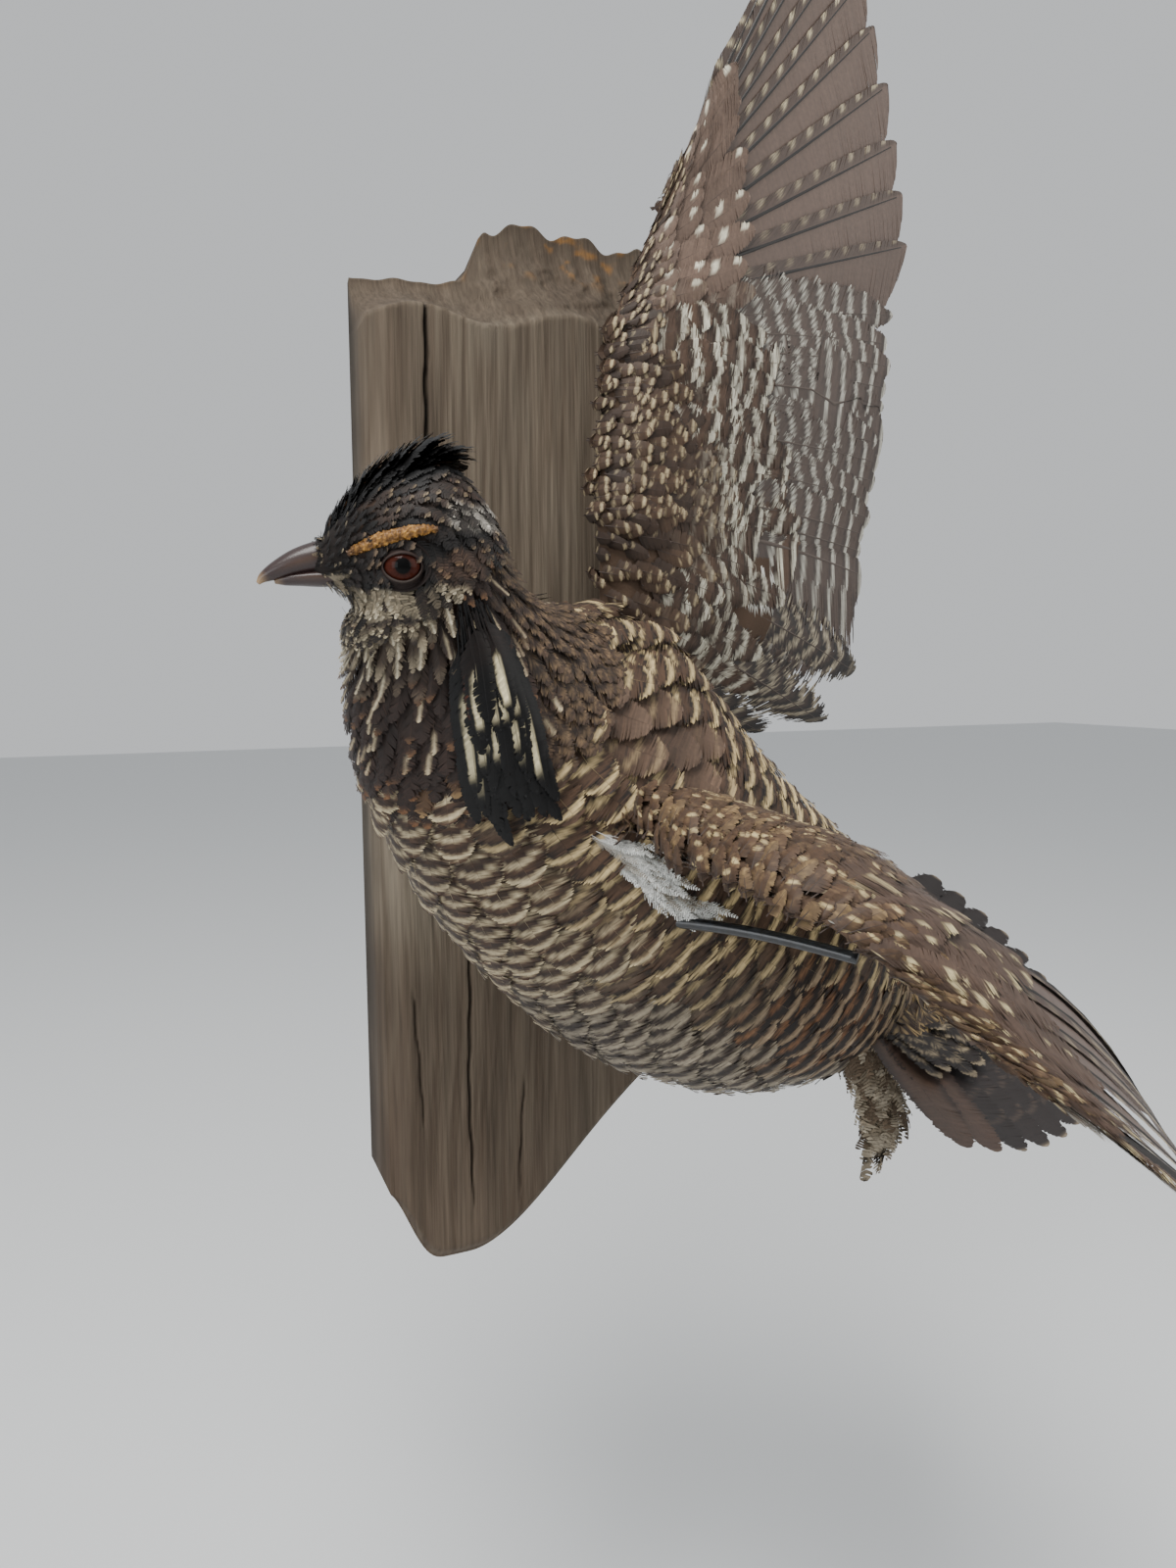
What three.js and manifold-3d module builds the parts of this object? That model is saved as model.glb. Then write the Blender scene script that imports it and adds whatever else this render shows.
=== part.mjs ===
// Taxidermy greater prairie chicken, a male in a banking flight pose, on a driftwood wall plaque.
//
// Millimetres. The origin is the centre of the plaque's flat back. X runs right along the wall,
// Y runs into the wall, so the bird is on the -Y side, and Z is up.

import * as THREE from 'three';
import { mergeVertices } from 'three/addons/utils/BufferGeometryUtils.js';
import Module from 'manifold-3d';

const wasm = await Module();
wasm.setup();

// ---------------------------------------------------------------- driving dimensions

const GAP = 0.3; // clearance between pieces that meet

// Rings along the body, from the tail base to the bill base. Each ring lies in a plane: `ahead`
// is the way to the bill, `up` is the way to the back, and the three sizes are the half width
// and the heights above and below the ring's centre.
const BODY_RINGS = [
  { at: [130, -105, -98], ahead: [-0.87, 0.22, 0.44], up: [0.36, -0.54, 0.76], half: 9, back: 5, belly: 6 },
  { at: [119, -102, -93], ahead: [-0.87, 0.20, 0.45], up: [0.38, -0.55, 0.74], half: 28, back: 20, belly: 25 },
  { at: [103, -101, -88], ahead: [-0.86, 0.10, 0.50], up: [0.43, -0.58, 0.70], half: 41, back: 35, belly: 43 },
  { at: [72, -104, -77], ahead: [-0.83, 0.00, 0.55], up: [0.46, -0.60, 0.66], half: 51, back: 50, belly: 57 },
  { at: [30, -108, -54], ahead: [-0.80, -0.05, 0.60], up: [0.49, -0.60, 0.63], half: 56, back: 58, belly: 62 },
  { at: [-12, -115, -19], ahead: [-0.74, -0.16, 0.65], up: [0.52, -0.58, 0.62], half: 55, back: 54, belly: 57 },
  { at: [-44, -127, 12], ahead: [-0.58, -0.34, 0.73], up: [0.62, -0.60, 0.50], half: 46, back: 44, belly: 45 },
  { at: [-61, -143, 33], ahead: [-0.46, -0.38, 0.80], up: [0.80, -0.33, 0.47], half: 33, back: 34, belly: 34 },
  { at: [-69, -154.5, 46], ahead: [-0.44, -0.30, 0.85], up: [0.89, -0.08, 0.44], half: 25, back: 27, belly: 28 },
  { at: [-74, -165, 57], ahead: [-0.54, -0.15, 0.83], up: [0.83, -0.06, 0.55], half: 19, back: 24, belly: 25.5 },
  { at: [-80, -169.5, 66], ahead: [-0.82, 0.06, 0.56], up: [0.56, -0.05, 0.83], half: 16, back: 22.5, belly: 24.5 },
  { at: [-90, -169.5, 66], ahead: [-0.94, 0.14, 0.30], up: [0.31, -0.06, 0.95], half: 13, back: 17.5, belly: 17 },
  { at: [-97, -168.8, 63.5], ahead: [-0.98, 0.15, 0.10], up: [0.12, -0.05, 0.99], half: 9, back: 11.5, belly: 11.5 },
  { at: [-102, -168.1, 60], ahead: [-0.98, 0.15, -0.10], up: [-0.08, -0.04, 0.99], half: 6, back: 6, belly: 6.2 },
  { at: [-105, -167.7, 59.4], ahead: [-0.98, 0.15, -0.15], up: [-0.13, -0.04, 0.99], half: 3, back: 3, belly: 3 },
];
const RING_STEPS = 3; // sections between two rings
const RING_SIDES = 24;
const TRUNK_TO_NECK = 20 / RING_STEPS; // place along the rings where the trunk ends
const NECK_TO_HEAD = 27 / RING_STEPS; // place where the neck ends
// The raised right arm pushes the shoulder feathers up into a mound beside the back.
const SHOULDER = { place: 5.35, turn: -57, rise: 25, length: 0.95, width: 34 };

// Wings. A wing is laid out flat first: along runs out from the shoulder, behind runs to the
// trailing edge and above is the upper side. The arm and the hand then get a plane each.
const WRIST = [88, -4]; // along, behind
const ELBOW = [42, 30];
const HAND_TIP = [139, 19];
const PRIMARIES = 10;
const SECONDARIES = 14;
const PRIMARY_LENGTHS = [146, 145, 145, 146, 147, 149, 151, 154, 150, 133]; // innermost first
const PRIMARY_ANGLES = [26, 32, 38, 45, 52, 57.5, 62, 66.5, 70, 72.5]; // degrees off the straight back
const PRIMARY_FULL = 72.5; // a closing hand swings its primaries back from this angle
const WINGS = {
  right: {
    shoulder: [10.4, -84, 60.2], wrist: [20.7, -87, 150.6],
    armBack: [0.977, 0.18, -0.106], handAlong: [0.115, -0.01, 0.993], handBack: [0.975, 0.17, -0.11],
    side: 1, secondaryTurn: [19, -8], secondaryLengths: [139, 102],
    tertials: [{ root: [14, 22], turn: -14, length: 122 }, { root: [2, 14], turn: -20, length: 118 },
      { root: [-8, 8], turn: -24, length: 92 }],
    droop: 4, primarySpread: 1,
  },
  left: {
    shoulder: [-12.7, -167.5, -14.8], wrist: [0, -246.4, -26.4],
    armBack: [0.98, 0.168, -0.067], handAlong: [0.463, -0.651, -0.599], handBack: [0.762, 0.636, -0.102],
    side: -1, secondaryTurn: [4, -44], secondaryLengths: [124, 98],
    tertials: [{ root: [14, 22], turn: -54, length: 92 }, { root: [2, 14], turn: -60, length: 84 },
      { root: [-8, 8], turn: -66, length: 62 }],
    droop: 45, primarySpread: 1.04, trimParting: true,
  },
};
const WING_ROOT_THICK = 17; // muscle and coverts over the arm
const WING_WRIST_THICK = 6;
const WING_HAND_THICK = 3.5;
const VANE_THICK = 0.8; // the vanes alone
const ARM_CAMBER = 0.07; // height of the arch over the chord
const HAND_CAMBER = 0.015;
const WING_ROWS = [0, 0.06, 0.2, 0.42, 0.7, 1];

// Tail: eighteen feathers in a spread fan.
const TAIL_BASE = [106.7, -97, -82];
const TAIL_AXIS = [0.837, -0.402, -0.371];
const TAIL_RIGHT = [0.528, 0.772, 0.355];
const TAIL_FEATHERS = 18;
const TAIL_SPREAD = 1.1; // radians to each side
const TAIL_LENGTH = 102;
const TAIL_SIDE_LOSS = 6; // the outermost feathers are this much shorter
const TAIL_THICK = 7;
const TAIL_ROWS = [0.16, 0.4, 0.7, 1];

// Head parts
const EYE_RADIUS = 5.4;
const EYE_OUT = 9.8; // eye centre from the head's middle plane
const EYE_AT = [-82.6, -171, 58.8]; // on the middle plane
const HEAD_LEFT = [-0.146, -0.988, -0.05];

// Plaque
const PLAQUE_LEFT = -62;
const PLAQUE_RIGHT = 75;
const PLAQUE_THICK = 45;
const PLAQUE_TOP = 207;
const PLAQUE_SHOULDER = 182; // height of the left end of the top
const PLAQUE_TIP = -202; // lowest point, at the left
const PLAQUE_SLANT_TOP = -114; // where the slanting lower edge ends, at the right
const PLAQUE_LEDGE = 162; // above this height the front is eroded back to a thin edge
const PLAQUE_TOP_THICK = 7;
const PLAQUE_COLUMNS = 12;
const PLAQUE_LEVELS = 22;

const ROD_RADIUS = 4;
const STRUT_RADIUS = 1.6;
const STRUT_FROM = [-12, -152, -45]; // inside the flank
const STRUT_TO = [38, -206, -50]; // under the left wing

// ---------------------------------------------------------------- colours

const FINISH = {
  wood: { color: '#7d7465', roughness: 0.9, metalness: 0 },
  breast: { color: '#7c6a58', roughness: 0.85, metalness: 0 },
  neck: { color: '#5c4a3a', roughness: 0.85, metalness: 0 },
  head: { color: '#6b5c4a', roughness: 0.85, metalness: 0 },
  wing: { color: '#75634f', roughness: 0.75, metalness: 0 },
  tail: { color: '#3f322b', roughness: 0.7, metalness: 0 },
  black: { color: '#17130f', roughness: 0.7, metalness: 0 },
  comb: { color: '#b57a2a', roughness: 0.6, metalness: 0 },
  horn: { color: '#3b2c2b', roughness: 0.35, metalness: 0 },
  eye: { color: '#5a2f20', roughness: 0.05, metalness: 0 },
  steel: { color: '#74767a', roughness: 0.4, metalness: 1 },
  wire: { color: '#15161c', roughness: 0.35, metalness: 0.2 },
};

const bird = new THREE.Group();

function addMesh(name, geometry, finish) {
  const mesh = new THREE.Mesh(geometry, new THREE.MeshStandardMaterial(FINISH[finish]));
  mesh.name = name;
  bird.add(mesh);
  return mesh;
}

// ---------------------------------------------------------------- small helpers

const vec = (list) => new THREE.Vector3(...list);
const mix = (a, b, t) => a + (b - a) * t;
const clamp01 = (x) => Math.min(1, Math.max(0, x));
const radians = (degrees) => (degrees * Math.PI) / 180;

function smooth(from, to, x) {
  const t = clamp01((x - from) / (to - from));
  return t * t * (3 - 2 * t);
}

// A value read off evenly spaced keys, on straight lines between them.
function keyed(keys, t) {
  const place = clamp01(t) * (keys.length - 1);
  const low = Math.min(keys.length - 2, Math.floor(place));
  return mix(keys[low], keys[low + 1], place - low);
}

function catmull(p0, p1, p2, p3, t) {
  return 0.5 * (2 * p1 + (p2 - p0) * t + (2 * p0 - 5 * p1 + 4 * p2 - p3) * t * t
    + (3 * p1 - p0 - 3 * p2 + p3) * t * t * t);
}

// Closed solid from a stack of rings that have the same number of points; both ends are fans.
function solidFromRings(rings) {
  const sides = rings[0].length;
  const points = rings.flat();
  const faces = [];
  for (let r = 0; r + 1 < rings.length; r += 1) {
    for (let s = 0; s < sides; s += 1) {
      const a = r * sides + s;
      const b = r * sides + ((s + 1) % sides);
      faces.push(a, b, a + sides, b, b + sides, a + sides);
    }
  }
  for (const [start, flip] of [[0, true], [(rings.length - 1) * sides, false]]) {
    const middle = new THREE.Vector3();
    for (let s = 0; s < sides; s += 1) middle.addScaledVector(points[start + s], 1 / sides);
    const hub = points.push(middle) - 1;
    for (let s = 0; s < sides; s += 1) {
      const a = start + s;
      const b = start + ((s + 1) % sides);
      faces.push(...(flip ? [hub, b, a] : [hub, a, b]));
    }
  }
  return outward(points, faces);
}

// Closed solid between a front grid and a back grid of the same size, joined round the rim.
function solidFromSheets(front, back) {
  const rows = front.length;
  const columns = front[0].length;
  const points = [...front.flat(), ...back.flat()];
  const half = rows * columns;
  const faces = [];
  const quad = (a, b, c, d) => faces.push(a, b, c, a, c, d);
  for (let r = 0; r + 1 < rows; r += 1) {
    for (let c = 0; c + 1 < columns; c += 1) {
      const a = r * columns + c;
      quad(a, a + 1, a + columns + 1, a + columns);
      quad(half + a, half + a + columns, half + a + columns + 1, half + a + 1);
    }
  }
  const rim = [];
  for (let c = 0; c < columns - 1; c += 1) rim.push(c);
  for (let r = 0; r < rows - 1; r += 1) rim.push(r * columns + columns - 1);
  for (let c = columns - 1; c > 0; c -= 1) rim.push((rows - 1) * columns + c);
  for (let r = rows - 1; r > 0; r -= 1) rim.push(r * columns);
  rim.forEach((a, i) => {
    const b = rim[(i + 1) % rim.length];
    quad(a, half + a, half + b, b);
  });
  return outward(points, faces);
}

// Geometry with its faces turned so that the enclosed volume is positive.
function outward(points, faces) {
  let volume = 0;
  for (let f = 0; f < faces.length; f += 3) {
    const [a, b, c] = [points[faces[f]], points[faces[f + 1]], points[faces[f + 2]]];
    volume += a.dot(new THREE.Vector3().crossVectors(b, c));
  }
  if (volume < 0) faces.reverse();
  const geometry = new THREE.BufferGeometry();
  geometry.setAttribute('position', new THREE.Float32BufferAttribute(points.flatMap((p) => [p.x, p.y, p.z]), 3));
  geometry.setIndex(faces);
  return geometry;
}

function toSolid(geometry) {
  const bare = geometry.clone();
  bare.deleteAttribute('normal');
  bare.deleteAttribute('uv');
  const merged = mergeVertices(bare, 1e-3);
  const mesh = new wasm.Mesh({
    numProp: 3,
    vertProperties: new Float32Array(merged.attributes.position.array),
    triVerts: new Uint32Array(merged.index.array),
  });
  return new wasm.Manifold(mesh);
}

function fromSolid(solid) {
  const mesh = solid.getMesh();
  const geometry = new THREE.BufferGeometry();
  geometry.setAttribute('position', new THREE.BufferAttribute(new Float32Array(mesh.vertProperties), 3));
  geometry.setIndex(new THREE.BufferAttribute(new Uint32Array(mesh.triVerts), 1));
  return geometry;
}

// The piece with each cutter's space taken away. Loose crumbs of the cut are dropped.
function cutAway(geometry, cutters) {
  let solid = toSolid(geometry);
  for (const cutter of cutters) solid = solid.subtract(toSolid(cutter));
  const bodies = solid.decompose().sort((a, b) => b.volume() - a.volume());
  return fromSolid(bodies[0]);
}

// ---------------------------------------------------------------- body

const RING_KEYS = BODY_RINGS.map((ring) => [...ring.at, ...ring.ahead, ...ring.up, ring.half, ring.back, ring.belly]);

// Centre, axes and sizes of the body at a place along its rings, on a smooth curve through them.
function bodyAt(place) {
  const last = RING_KEYS.length - 1;
  const low = Math.min(last - 1, Math.max(0, Math.floor(place)));
  const key = (i) => RING_KEYS[Math.min(last, Math.max(0, i))];
  const v = RING_KEYS[0].map((_, k) => catmull(key(low - 1)[k], key(low)[k], key(low + 1)[k], key(low + 2)[k], place - low));
  const ahead = new THREE.Vector3(v[3], v[4], v[5]).normalize();
  const left = new THREE.Vector3(v[6], v[7], v[8]).cross(ahead).normalize();
  const up = new THREE.Vector3().crossVectors(ahead, left);
  return { centre: new THREE.Vector3(v[0], v[1], v[2]), ahead, left, up, half: v[9], back: v[10], belly: v[11] };
}

// A point on the body: turn is 0 on the back, a quarter turn on the left side, half a turn below.
function bodyPoint(place, turn, grow = 0) {
  const { centre, left, up, half, back, belly } = bodyAt(place);
  const high = Math.cos(turn) > 0 ? back : belly;
  const offTurn = Math.atan2(Math.sin(turn - radians(SHOULDER.turn)), Math.cos(turn - radians(SHOULDER.turn)));
  const mound = SHOULDER.rise * Math.exp(-(((place - SHOULDER.place) / SHOULDER.length) ** 2))
    * Math.exp(-((offTurn / radians(SHOULDER.width)) ** 2));
  return centre.clone()
    .addScaledVector(left, (half + grow + mound) * Math.sin(turn))
    .addScaledVector(up, (high + grow + mound) * Math.cos(turn));
}

function bodyLength(from, to, grow = 0) {
  const steps = Math.round((to - from) * RING_STEPS);
  const rings = [];
  for (let i = 0; i <= steps; i += 1) {
    const place = mix(from, to, i / steps);
    const ring = [];
    for (let s = 0; s < RING_SIDES; s += 1) ring.push(bodyPoint(place, (2 * Math.PI * s) / RING_SIDES, grow));
    rings.push(ring);
  }
  if (from > 0 && grow === 0) {
    const { ahead } = bodyAt(from);
    for (const point of rings[0]) point.addScaledVector(ahead, GAP);
  }
  return solidFromRings(rings);
}

const RING_END = BODY_RINGS.length - 1;
const bodyGrown = bodyLength(0, RING_END, 1.5 * GAP);

// ---------------------------------------------------------------- tapered pieces along a line

// A solid along a row of stations { at, side, half, deep }: each ring is an ellipse, `half` wide
// along `side` and `deep` across it.
function taper(stations, sides = 10, grow = 0) {
  const rings = stations.map((station, i) => {
    const before = vec(stations[Math.max(0, i - 1)].at);
    const after = vec(stations[Math.min(stations.length - 1, i + 1)].at);
    const along = after.sub(before).normalize();
    const across = vec(station.side).cross(along).normalize();
    const side = new THREE.Vector3().crossVectors(along, across).normalize();
    const ring = [];
    for (let s = 0; s < sides; s += 1) {
      const turn = (2 * Math.PI * s) / sides;
      ring.push(vec(station.at)
        .addScaledVector(side, (station.half + grow) * Math.cos(turn))
        .addScaledVector(across, (station.deep + grow) * Math.sin(turn)));
    }
    return ring;
  });
  return solidFromRings(rings);
}

// Mirror image of a point or direction in the plane that halves the head and neck.
const MIDDLE_NORMAL = vec(HEAD_LEFT).normalize();
function mirrored(list, isPoint) {
  const v = vec(list);
  if (isPoint) v.sub(vec(EYE_AT));
  v.addScaledVector(MIDDLE_NORMAL, -2 * v.dot(MIDDLE_NORMAL));
  if (isPoint) v.add(vec(EYE_AT));
  return v.toArray();
}
const mirrorStations = (stations) => stations.map((s) => ({ ...s, at: mirrored(s.at, true), side: mirrored(s.side, false) }));

// ---------------------------------------------------------------- head parts

function eyeball(side, grow = 0) {
  const sphere = new THREE.SphereGeometry(EYE_RADIUS + grow, 12, 8);
  const centre = vec(EYE_AT).addScaledVector(vec(HEAD_LEFT), side * EYE_OUT);
  return sphere.translate(centre.x, centre.y, centre.z);
}

const HEAD_SIDE = HEAD_LEFT;
const BILL_UPPER = [
  { at: [-96.0, -168.8, 62.0], side: HEAD_SIDE, half: 4.6, deep: 4.4 },
  { at: [-101.5, -168.0, 61.4], side: HEAD_SIDE, half: 4.6, deep: 4.3 },
  { at: [-107.5, -167.2, 60.0], side: HEAD_SIDE, half: 3.9, deep: 3.6 },
  { at: [-112.8, -166.6, 57.9], side: HEAD_SIDE, half: 2.8, deep: 2.5 },
  { at: [-116.4, -166.3, 56.0], side: HEAD_SIDE, half: 1.6, deep: 1.4 },
  { at: [-117.9, -166.2, 54.4], side: HEAD_SIDE, half: 0.7, deep: 0.6 },
];
const BILL_LOWER = [
  { at: [-97.0, -168.7, 54.6], side: HEAD_SIDE, half: 4.1, deep: 2.2 },
  { at: [-102.5, -168.0, 54.3], side: HEAD_SIDE, half: 3.9, deep: 2.2 },
  { at: [-107.5, -167.3, 54.1], side: HEAD_SIDE, half: 3.1, deep: 1.6 },
  { at: [-111.4, -166.8, 53.9], side: HEAD_SIDE, half: 2.0, deep: 1.1 },
  { at: [-113.8, -166.5, 53.7], side: HEAD_SIDE, half: 0.9, deep: 0.6 },
];
const COMB_LEFT = [
  { at: [-97.0, -178.4, 61.4], side: [0, 0, 1], half: 1.2, deep: 1.4 },
  { at: [-93.2, -181.0, 63.2], side: [0, 0, 1], half: 2.2, deep: 2.4 },
  { at: [-87, -184.2, 65.4], side: [0, 0, 1], half: 2.5, deep: 2.6 },
  { at: [-81, -186.2, 66.8], side: [0, 0, 1], half: 2.2, deep: 2.4 },
  { at: [-75.8, -187.0, 67.4], side: [0, 0, 1], half: 1.2, deep: 1.4 },
];
const CREST = [
  { at: [-99, -168.8, 73.5], side: HEAD_SIDE, half: 2.5, deep: 1.5 },
  { at: [-94, -169.2, 78.5], side: HEAD_SIDE, half: 5, deep: 3 },
  { at: [-84, -170, 83.5], side: HEAD_SIDE, half: 7, deep: 4 },
  { at: [-73, -170, 87.5], side: HEAD_SIDE, half: 7, deep: 4.5 },
  { at: [-66, -170, 89.5], side: HEAD_SIDE, half: 5, deep: 3.5 },
  { at: [-61.5, -170, 90.5], side: HEAD_SIDE, half: 2, deep: 1.5 },
];
// The neck tufts follow the body's own rings: place, turn in degrees from the back, and distance
// out from the surface.
const PINNA = [
  { place: 8.75, turn: 74, out: 0, half: 4.5, deep: 2.2 },
  { place: 8.3, turn: 76, out: 2.5, half: 10, deep: 3.6 },
  { place: 7.7, turn: 78, out: 4, half: 14, deep: 4.4 },
  { place: 7.1, turn: 80, out: 4, half: 15, deep: 4.2 },
  { place: 6.6, turn: 83, out: 3.5, half: 11.5, deep: 3.2 },
  { place: 6.3, turn: 85, out: 3, half: 5.5, deep: 1.8 },
  { place: 6.1, turn: 86, out: 2.5, half: 1.2, deep: 0.8 },
];

// Stations for taper() from a row given in the body's terms, on its left (1) or right (-1) side.
function bodyStations(row, side) {
  return row.map(({ place, turn, out, half, deep }) => {
    const angle = side * radians(turn);
    const step = side * radians(5);
    const at = bodyPoint(place, angle, out);
    const across = bodyPoint(place, angle + step, out).sub(bodyPoint(place, angle - step, out));
    return { at: at.toArray(), side: across.toArray(), half, deep };
  });
}

// ---------------------------------------------------------------- wings

// One column of a wing runs from the leading edge to a feather's tip. `arm` is 0 at the shoulder,
// 1 at the wrist and 2 at the hand's tip.
function wingColumns(wing) {
  const feathers = [];
  wing.tertials.toReversed().forEach(({ root, turn, length }, k) => {
    feathers.push({ lead: [mix(-22, 14, k / 2), mix(0, -5, k / 2)], tip: polar(root, turn, length), arm: 0.05 * k });
  });
  for (let k = 0; k < SECONDARIES; k += 1) {
    const t = k / (SECONDARIES - 1);
    const root = [mix(ELBOW[0], WRIST[0] - 2, t), mix(ELBOW[1], WRIST[1] + 4, t)];
    const turn = mix(wing.secondaryTurn[1], wing.secondaryTurn[0], t);
    const length = mix(wing.secondaryLengths[1], wing.secondaryLengths[0], t);
    const lead = [mix(24, WRIST[0], t), mix(-8, WRIST[1] - 4, t)];
    feathers.push({ lead, tip: polar(root, turn, length), arm: mix(0.15, 0.95, t) });
  }
  for (let k = 0; k < PRIMARIES; k += 1) {
    const t = k / (PRIMARIES - 1);
    const root = [mix(WRIST[0] + 4, HAND_TIP[0], t), mix(WRIST[1] + 5, HAND_TIP[1], t)];
    const lead = [mix(WRIST[0] + 4, HAND_TIP[0] + 4, t), mix(WRIST[1] - 3, HAND_TIP[1] - 7, t)];
    const turn = PRIMARY_FULL - (PRIMARY_FULL - PRIMARY_ANGLES[k]) * wing.primarySpread;
    feathers.push({ lead, tip: polar(root, turn, PRIMARY_LENGTHS[k]), arm: 1.05 + 0.95 * t });
  }
  return feathers;
}
const FIRST_PRIMARY = 3 + SECONDARIES; // its place in the row of columns

function polar(root, degrees, length) {
  return [root[0] + length * Math.sin(radians(degrees)), root[1] + length * Math.cos(radians(degrees))];
}

// Flat layout to space, in the arm's plane, the hand's plane or between them round the wrist.
function wingPlace(wing, along, behind, above, arm) {
  const shoulder = vec(wing.shoulder);
  const wrist = vec(wing.wrist);
  const armSpan = wrist.clone().sub(shoulder);
  const reach = armSpan.length() / Math.hypot(...WRIST);
  const frame = (origin, alongAxis, backAxis, a) => {
    const x = alongAxis.clone().normalize();
    const z = new THREE.Vector3().crossVectors(backAxis, x).multiplyScalar(wing.side).normalize();
    const y = new THREE.Vector3().crossVectors(x, z).multiplyScalar(wing.side).normalize();
    return origin.clone().addScaledVector(x, a).addScaledVector(y, behind).addScaledVector(z, above);
  };
  const inArm = frame(shoulder, armSpan, vec(wing.armBack), along * (along < WRIST[0] ? reach : 1));
  const inHand = frame(wrist, vec(wing.handAlong), vec(wing.handBack), along - WRIST[0]);
  return inArm.lerp(inHand, smooth(0.3, 1.7, arm));
}

// The wing's columns with notched ones added between its feathers, so the trailing edge is scalloped.
function notchedColumns(wing) {
  const feathers = wingColumns(wing);
  const columns = [];
  feathers.forEach((here, f) => {
    columns.push(here);
    const next = feathers[f + 1];
    if (!next) return;
    const spread = Math.hypot(next.tip[0] - here.tip[0], next.tip[1] - here.tip[1]);
    const notch = Math.min(0.16, 0.005 * spread);
    for (const [share, drop] of f < FIRST_PRIMARY ? [[0.6, notch]] : [[0.3, 0.01], [0.62, notch]]) {
      const between = (key) => [mix(here[key][0], next[key][0], share), mix(here[key][1], next[key][1], share)];
      const lead = between('lead');
      const tip = between('tip');
      columns.push({ lead, tip: [mix(tip[0], lead[0], drop), mix(tip[1], lead[1], drop)], arm: mix(here.arm, next.arm, share) });
    }
  });
  return columns;
}

// Upper and lower faces of a whole wing: half the thickness to each side of a cambered sheet.
function wingSheets(wing) {
  const columns = notchedColumns(wing);
  const middle = columns.map((column) => {
    const chord = Math.hypot(column.tip[0] - column.lead[0], column.tip[1] - column.lead[1]);
    const arch = mix(ARM_CAMBER, HAND_CAMBER, smooth(0.7, 1.6, column.arm));
    const sag = column.arm < 1 ? mix(0.6, 1, column.arm) : 2 - column.arm;
    return WING_ROWS.map((v) => {
      const along = mix(column.lead[0], column.tip[0], v);
      const behind = mix(column.lead[1], column.tip[1], v);
      const camber = arch * chord * Math.sin(Math.PI * v ** 0.7) - wing.droop * sag * v * v;
      return wingPlace(wing, along, behind, camber, column.arm);
    });
  });
  const offset = (sign) => middle.map((points, c) => points.map((point, r) => {
    const across = middle[Math.min(columns.length - 1, c + 1)][r].clone().sub(middle[Math.max(0, c - 1)][r]);
    const down = points[Math.min(WING_ROWS.length - 1, r + 1)].clone().sub(points[Math.max(0, r - 1)]);
    const normal = across.cross(down).normalize();
    const v = WING_ROWS[r];
    const rootThick = keyed([WING_ROOT_THICK, WING_WRIST_THICK, WING_HAND_THICK], columns[c].arm / 2);
    const round = Math.sqrt(Math.min(1, v / 0.1 + 0.05));
    const thick = Math.max(VANE_THICK, rootThick * round * (1 - smooth(0.05, 0.6, v)));
    return point.clone().addScaledVector(normal, (sign * thick) / 2);
  }));
  return [offset(1), offset(-1)];
}

// The inner wing or the hand, parted at the first primary's line.
function wingSolid(wing, isHand) {
  const parting = 2 * FIRST_PRIMARY;
  const sheets = wingSheets(wing).map((sheet) => (isHand ? sheet.slice(parting) : sheet.slice(0, parting + 1)));
  if (isHand) {
    const [upper, lower] = sheets;
    upper[0].forEach((point, r) => {
      const across = upper[2][r].clone().add(lower[2][r]).sub(point).sub(lower[0][r]).normalize();
      point.addScaledVector(across, 2 * GAP);
      lower[0][r].addScaledVector(across, 2 * GAP);
    });
  } else if (wing.trimParting) {
    // the sharply folded wing needs a wider gap here
    const [upper, lower] = sheets;
    const last = parting;
    upper[last].forEach((point, r) => {
      const across = upper[last - 2][r].clone().add(lower[last - 2][r]).sub(point).sub(lower[last][r]).normalize();
      point.addScaledVector(across, 2 * GAP);
      lower[last][r].addScaledVector(across, 2 * GAP);
    });
  }
  return solidFromSheets(...sheets);
}

// ---------------------------------------------------------------- tail

function tailSolid(grow = 0) {
  const base = vec(TAIL_BASE);
  const axis = vec(TAIL_AXIS).normalize();
  const normal = new THREE.Vector3().crossVectors(vec(TAIL_RIGHT), axis).normalize();
  const right = new THREE.Vector3().crossVectors(axis, normal).normalize();
  const front = [];
  const back = [];
  const columns = TAIL_FEATHERS * 2;
  for (let c = 0; c <= columns; c += 1) {
    const share = (2 * c) / columns - 1;
    const notch = c % 2 === 0 && c > 0 && c < columns ? 0.05 : 0;
    const turn = share * TAIL_SPREAD;
    const length = (TAIL_LENGTH - TAIL_SIDE_LOSS * share * share) * (1 - notch);
    const direction = axis.clone().multiplyScalar(Math.cos(turn)).addScaledVector(right, Math.sin(turn));
    const upper = [];
    const lower = [];
    for (const v of TAIL_ROWS) {
      const thick = mix(TAIL_THICK, 1, smooth(0.1, 0.8, v)) * (1 - 0.4 * share * share) / 2 + grow;
      const rise = 3 * Math.sin(Math.PI * v) - 5 * share * share * v;
      const middle = base.clone().addScaledVector(direction, length * v).addScaledVector(normal, rise);
      upper.push(middle.clone().addScaledVector(normal, thick));
      lower.push(middle.clone().addScaledVector(normal, -thick));
    }
    front.push(upper);
    back.push(lower);
  }
  return solidFromSheets(front, back);
}

// ---------------------------------------------------------------- legs

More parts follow.
